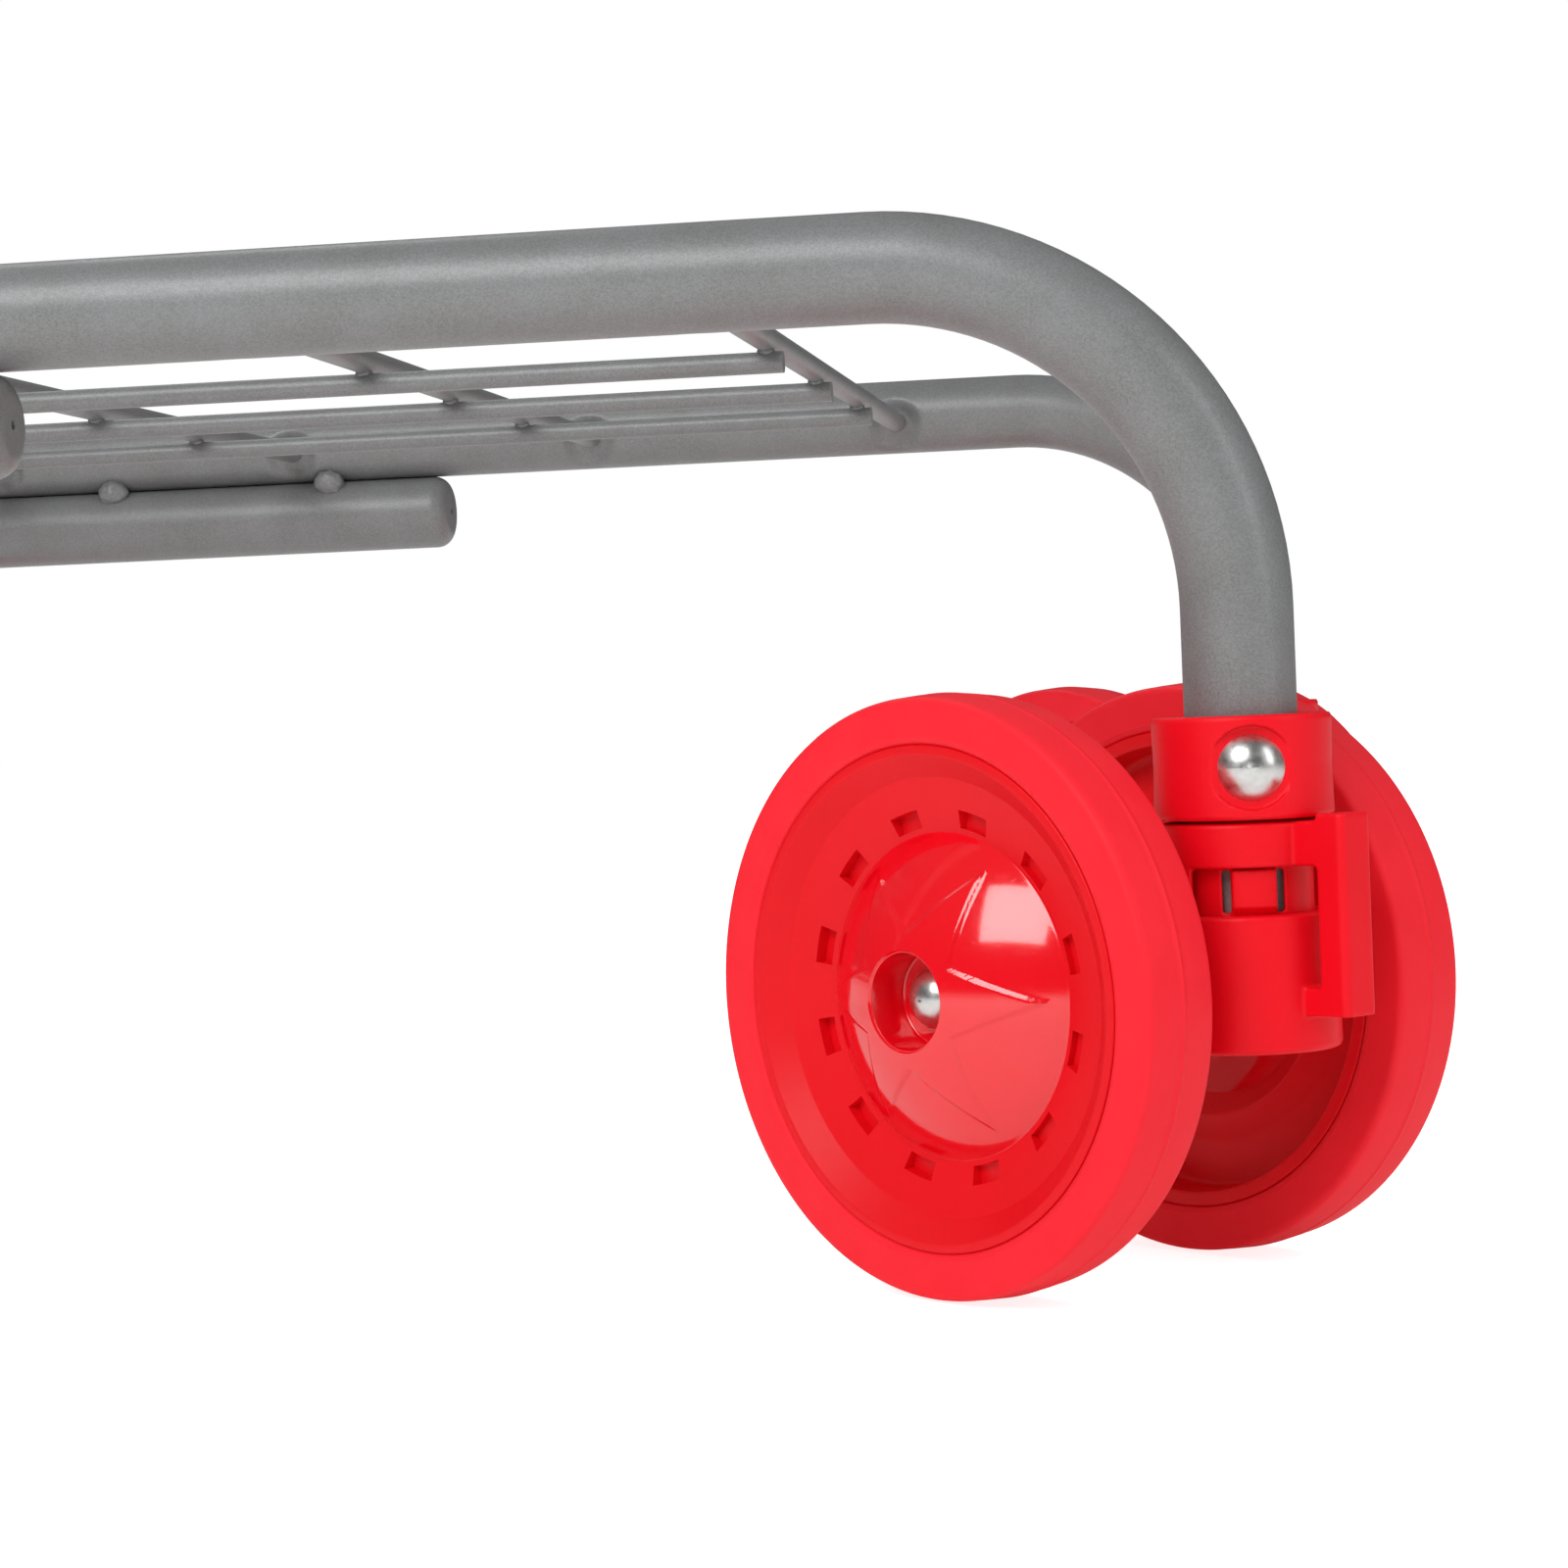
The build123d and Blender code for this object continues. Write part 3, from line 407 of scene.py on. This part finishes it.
def centres(name):
    """The middle of each separate solid of a CAD node."""
    shape = bmesh.new()
    shape.from_mesh(nodes[name].data)
    bmesh.ops.remove_doubles(shape, verts=shape.verts, dist=0.001 * mm)
    left, found = set(shape.verts), []
    while left:
        patch, edge = set(), [left.pop()]
        while edge:
            vert = edge.pop()
            patch.add(vert)
            for link in vert.link_edges:
                other = link.other_vert(vert)
                if other in left:
                    left.remove(other)
                    edge.append(other)
        points = np.array([v.co for v in patch])
        found.append(tuple((points.min(0) + points.max(0)) / 2))
    shape.free()
    return sorted(found)


for name, radius, stretch, swell in (
    ("leg_welds", 4.1 * mm, (1.15, 0.9, 1.0), 1.6 * mm),
    ("rack_welds", 1.9 * mm, (1.1, 1.1, 0.8), 0.6 * mm),
):
    points = bpy.data.meshes.new(name)
    points.from_pydata(centres(name), [], [])
    values = {"Radius": radius, "Stretch": stretch, "Ripple": swell, "Finish": silver_coat}
    bead_mesh = grown(name, points, bead_tree, values)
    as_piece(f"{name}_coated", bead_mesh, [silver_coat], "chassis", [name], 70)


# Caster collars: injection-moulded polypropylene sleeves, pinned to the tube ends by a rivet in
# a round recess. Every edge has a moulder's small radius.
red_shell, tree, shader, place = finish("red_moulded_polypropylene")
drift = put(tree, "ShaderNodeTexNoise", {"Vector": place, "Scale": 1 / 22, "Detail": 2.0})
shell_colour = put(
    tree,
    "ShaderNodeMix",
    {"Factor": drift.outputs["Fac"], 6: (*linear("E60518"), 1), 7: (*linear("EE0A20"), 1)},
    data_type="RGBA",
)
tree.links.new(shell_colour.outputs[2], shader.inputs["Base Color"])
spark = put(tree, "ShaderNodeTexNoise", {"Vector": place, "Scale": 1 / 0.5, "Detail": 3.0})
spark_rough = put(
    tree, "ShaderNodeMapRange", {"Value": spark.outputs["Fac"], "To Min": 0.36, "To Max": 0.5}
)
tree.links.new(spark_rough.outputs[0], shader.inputs["Roughness"])
spark_bump = put(
    tree, "ShaderNodeBump", {"Height": spark.outputs["Fac"], "Strength": 0.12, "Distance": 0.06 * mm}
)
tree.links.new(spark_bump.outputs[0], shader.inputs["Normal"])
shader.inputs["IOR"].default_value = 1.49
shader.inputs["Specular IOR Level"].default_value = 0.2


def moulded(name, voxel, rounds, keep):
    """A copy of a CAD node with its hard edges drawn soft, as a moulding's are."""
    shape = bmesh.new()
    shape.from_mesh(nodes[name].data)
    bmesh.ops.remove_doubles(shape, verts=shape.verts, dist=0.001 * mm)
    mesh = bpy.data.meshes.new(name)
    shape.to_mesh(mesh)
    shape.free()
    holder = bpy.data.objects.new(name + "_soft", mesh)
    bpy.context.scene.collection.objects.link(holder)
    even = holder.modifiers.new("even", "REMESH")
    even.mode = "VOXEL"
    even.voxel_size = voxel
    soften = holder.modifiers.new("soften", "SMOOTH")
    soften.factor = 0.5
    soften.iterations = rounds
    fewer = holder.modifiers.new("fewer", "DECIMATE")
    fewer.ratio = keep
    return plain_mesh(holder)


for side in ("right", "left"):
    name = f"caster_collar_{side}"
    as_piece(
        name + "_moulded",
        moulded(name, 0.32 * mm, 3, 0.4),
        [red_shell],
        "chassis",
        [name],
        60,
    )


# Caster housings: one moulding each, with the swivel bore, the guard bar in front and the arm
# back to the axle.
for side in ("right", "left"):
    name = f"caster_housing_{side}"
    as_piece(
        name + "_moulded",
        moulded(name, 0.42 * mm, 3, 0.35),
        [red_shell],
        f"caster_{side}",
        [name],
        60,
    )


# Wheel discs: moulded polypropylene, with a satin dish painted a little darker as shade, a ring of blind
# pockets, and a polished dome that carries a low six-pointed star. A pocket in the dome's middle shows the
# axle's cap.
red_disc, tree, shader, place = finish("red_polished_polypropylene")
drift = put(tree, "ShaderNodeTexNoise", {"Vector": place, "Scale": 1 / 18, "Detail": 3.0})
disc_colour = put(
    tree,
    "ShaderNodeMix",
    {"Factor": drift.outputs["Fac"], 6: (*linear("E60416"), 1), 7: (*linear("EE081C"), 1)},
    data_type="RGBA",
)
tree.links.new(disc_colour.outputs[2], shader.inputs["Base Color"])
scuff_place = put(
    tree,
    "ShaderNodeMapping",
    {"Vector": place, "Rotation": (0.4, 0.9, 0.3), "Scale": (4.0, 0.12, 4.0)},
)
scuff = put(tree, "ShaderNodeTexNoise", {"Vector": scuff_place.outputs[0], "Scale": 1.0, "Detail": 4.0})
scuff_line = put(
    tree, "ShaderNodeMapRange", {"Value": scuff.outputs["Fac"], "From Min": 0.58, "From Max": 0.7}
)
dome_rough = put(
    tree, "ShaderNodeMath", {0: scuff_line.outputs[0], 1: 0.16, 2: 0.09}, operation="MULTIPLY_ADD"
)
tree.links.new(dome_rough.outputs[0], shader.inputs["Roughness"])
scuff_bump = put(
    tree, "ShaderNodeBump", {"Height": scuff_line.outputs[0], "Strength": 0.1, "Distance": 0.04 * mm}
)
tree.links.new(scuff_bump.outputs[0], shader.inputs["Normal"])
shader.inputs["Specular IOR Level"].default_value = 1.0
# The satin finish is real, but its red is painted a little darker than the dome's red. This is painted shade
# for the recessed dish, and it also covers the wall, the rim and the inner face.
red_satin_shade_darkened, tree, shader, place = finish("red_satin_polypropylene_shade_darkened")
drift = put(tree, "ShaderNodeTexNoise", {"Vector": place, "Scale": 1 / 20, "Detail": 3.0})
satin_colour_painted_shade = put(
    tree,
    "ShaderNodeMix",
    {"Factor": drift.outputs["Fac"], 6: (*linear("DE0212"), 1), 7: (*linear("E80618"), 1)},
    data_type="RGBA",
)
tree.links.new(satin_colour_painted_shade.outputs[2], shader.inputs["Base Color"])
fine = put(tree, "ShaderNodeTexNoise", {"Vector": place, "Scale": 1 / 0.8, "Detail": 4.0})
satin_rough = put(
    tree, "ShaderNodeMapRange", {"Value": fine.outputs["Fac"], "To Min": 0.35, "To Max": 0.55}
)
tree.links.new(satin_rough.outputs[0], shader.inputs["Roughness"])
satin_bump = put(
    tree, "ShaderNodeBump", {"Height": fine.outputs["Fac"], "Strength": 0.1, "Distance": 0.06 * mm}
)
tree.links.new(satin_bump.outputs[0], shader.inputs["Normal"])
shader.inputs["Specular IOR Level"].default_value = 0.25

half_width = 9.2 * mm
vent_turns = 12
columns = 360


def drawn(points, step):
    """A closed outline from corners (r, w, fillet radius), with rounded corners and even points."""
    out = []
    count = len(points)
    for i, (r, w, fillet) in enumerate(points):
        here = np.array((r, w))
        before = np.array(points[i - 1][:2]) - here
        after = np.array(points[(i + 1) % count][:2]) - here
        a, b = np.linalg.norm(before), np.linalg.norm(after)
        before, after = before / a, after / b
        half_angle = math.acos(np.clip(before @ after, -1, 1)) / 2
        if fillet <= 0 or half_angle > 1.55:
            out.append(here)
            continue
        back = min(fillet / math.tan(half_angle), 0.45 * a, 0.45 * b)
        p, q = here + before * back, here + after * back
        for t in np.linspace(0, 1, 6):
            out.append((1 - t) ** 2 * p + 2 * t * (1 - t) * here + t * t * q)
    dense = []
    for i, p in enumerate(out):
        q = out[(i + 1) % len(out)]
        pieces = max(1, int(np.linalg.norm(q - p) / step))
        dense.extend(p + (q - p) * k / pieces for k in range(pieces))
    return np.array(dense)


def dome_rows(base_r, base_w, top_r, top_w, count):
    """Points up a dome whose sphere is centred on the axis, its two ends left out."""
    centre = ((top_w**2 + top_r**2) - (base_w**2 + base_r**2)) / (2 * (top_w - base_w))
    sphere = math.hypot(base_r, base_w - centre)
    return [(r, centre + math.sqrt(sphere**2 - r * r), 0) for r in np.linspace(base_r, top_r, count)[1:-1]]


def disc_mesh(rim_r, dome_r, axle_r, back):
    """A wheel disc about its own axis, its outer face towards +Z."""
    lip_r, wall_r = rim_r - 1.9 * mm, rim_r - 6.5 * mm
    lip_w, wall_w = half_width - 0.4 * mm, half_width - 4.3 * mm
    dish_w, crown_w = half_width - 7.4 * mm, half_width + 4.9 * mm
    seat_w, pocket_r = half_width - 4.2 * mm, 9.6 * mm
    web, boss_r = 3.2 * mm, 12.4 * mm
    vent_low, vent_high = rim_r - 16.35 * mm, rim_r - 12.65 * mm
    vent_length, floor_w = 7.5 * mm, dish_w - 1.3 * mm
    slope = (wall_w - dish_w) / (wall_r - dome_r)
    under_w = crown_w - web - 1.2 * mm
    face = [
        (axle_r, seat_w, 0),
        (pocket_r, seat_w, 0.6 * mm),
        (pocket_r, crown_w, 0.5 * mm),
        *dome_rows(dome_r, dish_w, pocket_r, crown_w, 44)[::-1],
        (dome_r, dish_w, 0.25 * mm),
        (vent_low, dish_w + (vent_low - dome_r) * slope, 0),
        (vent_high, dish_w + (vent_high - dome_r) * slope, 0),
        (wall_r, wall_w, 0.8 * mm),
        (lip_r, lip_w, 0.5 * mm),
        (rim_r, lip_w, 0.5 * mm),
    ]
    inside = [
        (rim_r, -lip_w, 0.4 * mm),
        (rim_r - 3 * mm, -lip_w, 0.6 * mm),
        (rim_r - 3 * mm, wall_w - web - 1.2 * mm, 2.2 * mm),
        (vent_high, dish_w + (vent_high - dome_r) * slope - web, 0),
        (vent_low, dish_w + (vent_low - dome_r) * slope - web, 0),
        (dome_r - 1 * mm, dish_w - web, 1.0 * mm),
        *dome_rows(dome_r - 3 * mm, dish_w - web + 1.2 * mm, boss_r, under_w, 12),
        (boss_r, under_w, 1.0 * mm),
        (boss_r, -back, 0.5 * mm),
        (axle_r, -back, 0),
    ]
    outline = drawn(face + inside, 0.9 * mm)
    turn = np.arange(columns) * 2 * math.pi / columns
    r = np.repeat(outline[:, :1], columns, 1)
    w = np.repeat(outline[:, 1:], columns, 1)
    # The star: inside the lines from each outer point to the inner corners beside it
    point_r, corner_r, star_rise, edge_blur = 0.892 * dome_r, 0.41 * dome_r, 0.5 * mm, 0.3 * mm
    sixth = math.pi / 3
    folded = np.abs((turn + sixth / 2) % sixth - sixth / 2)
    corner = corner_r * np.array((math.cos(sixth / 2), math.sin(sixth / 2)))
    along = (corner - (point_r, 0)) / np.linalg.norm(corner - (point_r, 0))
    depth = (r * np.cos(folded) - point_r) * -along[1] + r * np.sin(folded) * along[0]
    on_dome = (w > dish_w + 0.4 * mm) & (r > pocket_r + 0.3 * mm) & (r < dome_r)
    outer_face = np.arange(len(outline)) < np.argmax(outline[:, 0])
    rise = np.clip(depth / edge_blur + 0.5, 0, 1)
    w = w + star_rise * rise**2 * (3 - 2 * rise) * on_dome * outer_face[:, None]
    rings = np.stack((r * np.cos(turn), r * np.sin(turn), w), -1)
    # Vents: blind pockets sunk in the dish, each with a flat floor
    points = rings.reshape(-1, 3).tolist()
    count = len(outline)
    in_window = [
        i
        for i in np.flatnonzero(outer_face)
        if vent_low - 1e-7 <= outline[i, 0] <= vent_high + 1e-7 and outline[i, 1] < wall_w
    ]
    low_row, high_row = min(in_window), max(in_window)
    pitch = columns // vent_turns
    half_open = round(vent_length / 2 / ((vent_low + vent_high) / 2) * columns / (2 * math.pi))
    middles = [pitch // 2 + v * pitch for v in range(vent_turns)]
    windows = [range(middle - half_open, middle + half_open) for middle in middles]
    open_columns = {k % columns for window in windows for k in window}
    faces = []
    for i in range(count):
        j = (i + 1) % count
        for k in range(columns):
            if low_row <= i < high_row and k in open_columns:
                continue
            n = (k + 1) % columns
            faces.append((i * columns + k, i * columns + n, j * columns + n, j * columns + k))
    for window in windows:
        spokes = [k % columns for k in (*window, window[-1] + 1)]
        base = len(points)
        for row in (low_row, high_row):
            points.extend((*rings[row, k, :2], floor_w) for k in spokes)
        wide = len(spokes)
        for s in range(wide - 1):
            a, b = spokes[s], spokes[s + 1]
            faces.append((base + s, base + s + 1, base + wide + s + 1, base + wide + s))
            faces.append((low_row * columns + a, low_row * columns + b, base + s + 1, base + s))
            upper = base + wide + s
            faces.append((high_row * columns + b, high_row * columns + a, upper, upper + 1))
        for s in (0, wide - 1):
            edge = [i * columns + spokes[s] for i in range(low_row, high_row + 1)]
            faces.append((*edge, base + wide + s, base + s))
    mesh = bpy.data.meshes.new("wheel_disc")
    mesh.from_pydata(points, [], faces)
    shape = bmesh.new()
    shape.from_mesh(mesh)
    bmesh.ops.delete(shape, geom=[v for v in shape.verts if not v.link_faces], context="VERTS")
    bmesh.ops.recalc_face_normals(shape, faces=shape.faces)
    # Faces off the dome take the satin finish, whose darker red is painted shade.
    for face in shape.faces:
        middle = face.calc_center_median()
        face.material_index = int(math.hypot(middle.x, middle.y) > dome_r or middle.z < dish_w)
    shape.to_mesh(mesh)
    shape.free()
    return mesh


def wheel_places():
    """Each wheel's name, its body, its middle and the way its outer face looks."""
    places = []
    for name, joint in joints.items():
        if "_wheel_spin_" not in name:
            continue
        end = name.split("_wheel_spin_")[1]
        axis = Vector(joint["axis"]).normalized()
        middle = Vector(joint["pos_m"])
        if name.startswith("front"):
            low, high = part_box(f"caster_axle_{end.split('_')[0]}")
            centre = (low + high) / 2
        else:
            centre = Vector((middle.x, 0, middle.z))
        out = axis if (middle - centre).dot(axis) > 0 else -axis
        places.append((name.split("_")[0], end, joint["child"], middle, out))
    return places


def stand(mesh, middle, out):
    """A copy of a wheel's mesh, turned to its axle and moved to its place, its star upright."""
    ahead = Vector((0, 0, 1)).cross(out)
    turned = Matrix((ahead, Vector((0, 0, 1)), out)).transposed()
    if turned.determinant() < 0:
        turned = Matrix((-ahead, Vector((0, 0, 1)), out)).transposed()
    copy = mesh.copy()
    copy.transform(Matrix.Translation(middle) @ turned.to_4x4())
    return copy


discs = {
    "front": disc_mesh(50 * mm, 32.5 * mm, 4.06 * mm, half_width - 0.1 * mm),
    "rear": disc_mesh(65 * mm, 40 * mm, 5.06 * mm, half_width),
}
for end, place_name, body, middle, out in wheel_places():
    piece_mesh = stand(discs[end], middle, out)
    finishes = [red_disc, red_satin_shade_darkened]
    as_piece(
        f"{end}_disc_{place_name}", piece_mesh, finishes, body, [f"{end}_hub_{place_name}"], 32
    )


# Tyres: soft thermoplastic rubber moulded on the rim, a little crowned, with round shoulders
# and a fine parting line round the middle of the tread.
soft_tread, tree, shader, place = finish("red_soft_moulded_tyre")
mottle = put(tree, "ShaderNodeTexNoise", {"Vector": place, "Scale": 1 / 9, "Detail": 4.0})
tread_colour = put(
    tree,
    "ShaderNodeMix",
    {"Factor": mottle.outputs["Fac"], 6: (*linear("F01C2C"), 1), 7: (*linear("F72634"), 1)},
    data_type="RGBA",
)
tree.links.new(tread_colour.outputs[2], shader.inputs["Base Color"])
skin = put(tree, "ShaderNodeTexNoise", {"Vector": place, "Scale": 1 / 0.7, "Detail": 4.0})
skin_bump = put(
    tree, "ShaderNodeBump", {"Height": skin.outputs["Fac"], "Strength": 0.2, "Distance": 0.1 * mm}
)
tree.links.new(skin_bump.outputs[0], shader.inputs["Normal"])
shader.inputs["Roughness"].default_value = 0.55
shader.inputs["Specular IOR Level"].default_value = 0.2

spin_tree, given, result = group(
    "spun_section",
    {
        "Turns": ("NodeSocketInt", 180),
        "Radius": ("NodeSocketFloat", 60 * mm),
        "Finish": ("NodeSocketMaterial", None),
    },
)
ring = put(
    spin_tree,
    "GeometryNodeCurvePrimitiveCircle",
    {"Resolution": given.outputs["Turns"], "Radius": given.outputs["Radius"]},
)
section = put(spin_tree, "GeometryNodeMeshToCurve", {0: given.outputs["Geometry"]})
swept = put(
    spin_tree, "GeometryNodeCurveToMesh", {"Curve": ring.outputs[0], "Profile Curve": section.outputs[0]}
)
spun = put(
    spin_tree,
    "GeometryNodeSetMaterial",
    {"Geometry": swept.outputs[0], "Material": given.outputs["Finish"]},
)
spin_tree.links.new(spun.outputs[0], result.inputs[0])


def tyre_section(tyre_r, rim_r):
    """The tyre's closed outline, from its crowned tread to the groove at the rim."""
    tread_half, crown, seam_half, seam_rise = 6.2, 0.4, 0.16, 0.12  # millimetres
    shoulder = half_width - 0.4 * mm
    top_r = tyre_r - seam_rise * mm
    half = [(top_r - crown * (w / tread_half) ** 2 * mm, w * mm, 0) for w in (5.6, 4.2, 2.8, 1.4, seam_half)]
    half = [(top_r - 0.6 * mm, half_width, 3.1 * mm), *half]
    side = [
        (rim_r, shoulder - 0.6 * mm, 0),
        (rim_r + 0.5 * mm, shoulder, 0.4 * mm),
        (rim_r + 1.4 * mm, half_width, 0.5 * mm),
        *half,
    ]
    other = [(r, -w, round_r) for r, w, round_r in reversed(side)]
    return drawn([*side, (tyre_r, 0, 0), *other], 1.6 * mm)


def spun_mesh(name, outline, radius, turns, material):
    """Spins a closed outline (r, w) about the Z axis."""
    section_mesh = bpy.data.meshes.new(name)
    corners = [(r - radius, w, 0) for r, w in outline]
    count = len(corners)
    section_mesh.from_pydata(corners, [(i, (i + 1) % count) for i in range(count)], [])
    mesh = grown(name, section_mesh, spin_tree, {"Turns": turns, "Radius": radius, "Finish": material})
    shape = bmesh.new()
    shape.from_mesh(mesh)
    bmesh.ops.recalc_face_normals(shape, faces=shape.faces)
    shape.to_mesh(mesh)
    shape.free()
    return mesh


tyres = {
    "front": spun_mesh("front_tyre", tyre_section(60 * mm, 50 * mm), 60 * mm, 200, soft_tread),
    "rear": spun_mesh("rear_tyre", tyre_section(75 * mm, 65 * mm), 75 * mm, 220, soft_tread),
}
for end, place_name, body, middle, out in wheel_places():
    piece_mesh = stand(tyres[end], middle, out)
    as_piece(
        f"{end}_tread_{place_name}",
        piece_mesh,
        [soft_tread],
        body,
        [f"{end}_tyre_{place_name}"],
        40,
    )


# Axles, caps, rivets and pins: cold-headed steel with bright zinc plating, a little clouded.
bright_zinc, tree, shader, place = finish("bright_zinc_plated_steel")
cloudy = put(tree, "ShaderNodeTexNoise", {"Vector": place, "Scale": 1 / 1.6, "Detail": 4.0})
zinc_colour = put(
    tree,
    "ShaderNodeMix",
    {"Factor": cloudy.outputs["Fac"], 6: (*linear("BFC0BE"), 1), 7: (*linear("ECEDEB"), 1)},
    data_type="RGBA",
)
tree.links.new(zinc_colour.outputs[2], shader.inputs["Base Color"])
zinc_rough = put(
    tree, "ShaderNodeMapRange", {"Value": cloudy.outputs["Fac"], "To Min": 0.2, "To Max": 0.42}
)
tree.links.new(zinc_rough.outputs[0], shader.inputs["Roughness"])
peen = put(
    tree, "ShaderNodeBump", {"Height": cloudy.outputs["Fac"], "Strength": 0.2, "Distance": 0.15 * mm}
)
tree.links.new(peen.outputs[0], shader.inputs["Normal"])
shader.inputs["Metallic"].default_value = 1.0
for name in nodes:
    if any(word in name for word in ("_axle", "rivets", "hinge_pins", "washers", "button_spring")):
        dress(name, bright_zinc)


# Hinge brackets and bag hooks: the same red polypropylene as the casters, moulded in one piece
# each.
for name, voxel in (("hinge_bracket_right", 0.6 * mm), ("hinge_bracket_left", 0.6 * mm)):
    as_piece(
        name + "_moulded",
        moulded(name, voxel, 3, 0.35),
        [red_shell],
        "chassis",
        [name],
        60,
    )
as_piece(
    "bag_hooks_moulded",
    moulded("bag_hooks", 0.5 * mm, 3, 0.35),
    [red_shell],
    "upright",
    ["bag_hooks"],
    60,
)


# Release buttons and tube plugs: black polypropylene with a fine spark-eroded grain.
black_shell, tree, shader, place = finish("black_grained_polypropylene")
grain = put(tree, "ShaderNodeTexNoise", {"Vector": place, "Scale": 1 / 0.6, "Detail": 3.0})
grain_colour = put(
    tree,
    "ShaderNodeMix",
    {"Factor": grain.outputs["Fac"], 6: (*linear("1E1F20"), 1), 7: (*linear("343537"), 1)},
    data_type="RGBA",
)
tree.links.new(grain_colour.outputs[2], shader.inputs["Base Color"])
grain_bump = put(
    tree, "ShaderNodeBump", {"Height": grain.outputs["Fac"], "Strength": 0.35, "Distance": 0.12 * mm}
)
tree.links.new(grain_bump.outputs[0], shader.inputs["Normal"])
shader.inputs["Roughness"].default_value = 0.5
for name in ("release_button_right", "release_button_left", "tube_plugs"):
    dress(name, black_shell)


# Handle grip: a sleeve of closed-cell foam rubber pushed over the top of the upright.
foam, tree, shader, place = finish("black_closed_cell_foam")
cells = put(tree, "ShaderNodeTexVoronoi", {"Vector": place, "Scale": 1 / 0.9})
foam_colour = put(
    tree,
    "ShaderNodeMix",
    {"Factor": cells.outputs["Distance"], 6: (*linear("161617"), 1), 7: (*linear("303032"), 1)},
    data_type="RGBA",
)
tree.links.new(foam_colour.outputs[2], shader.inputs["Base Color"])
cell_bump = put(
    tree, "ShaderNodeBump", {"Height": cells.outputs["Distance"], "Strength": 0.5, "Distance": 0.3 * mm}
)
tree.links.new(cell_bump.outputs[0], shader.inputs["Normal"])
shader.inputs["Roughness"].default_value = 0.8
dress("handle_grip", foam)
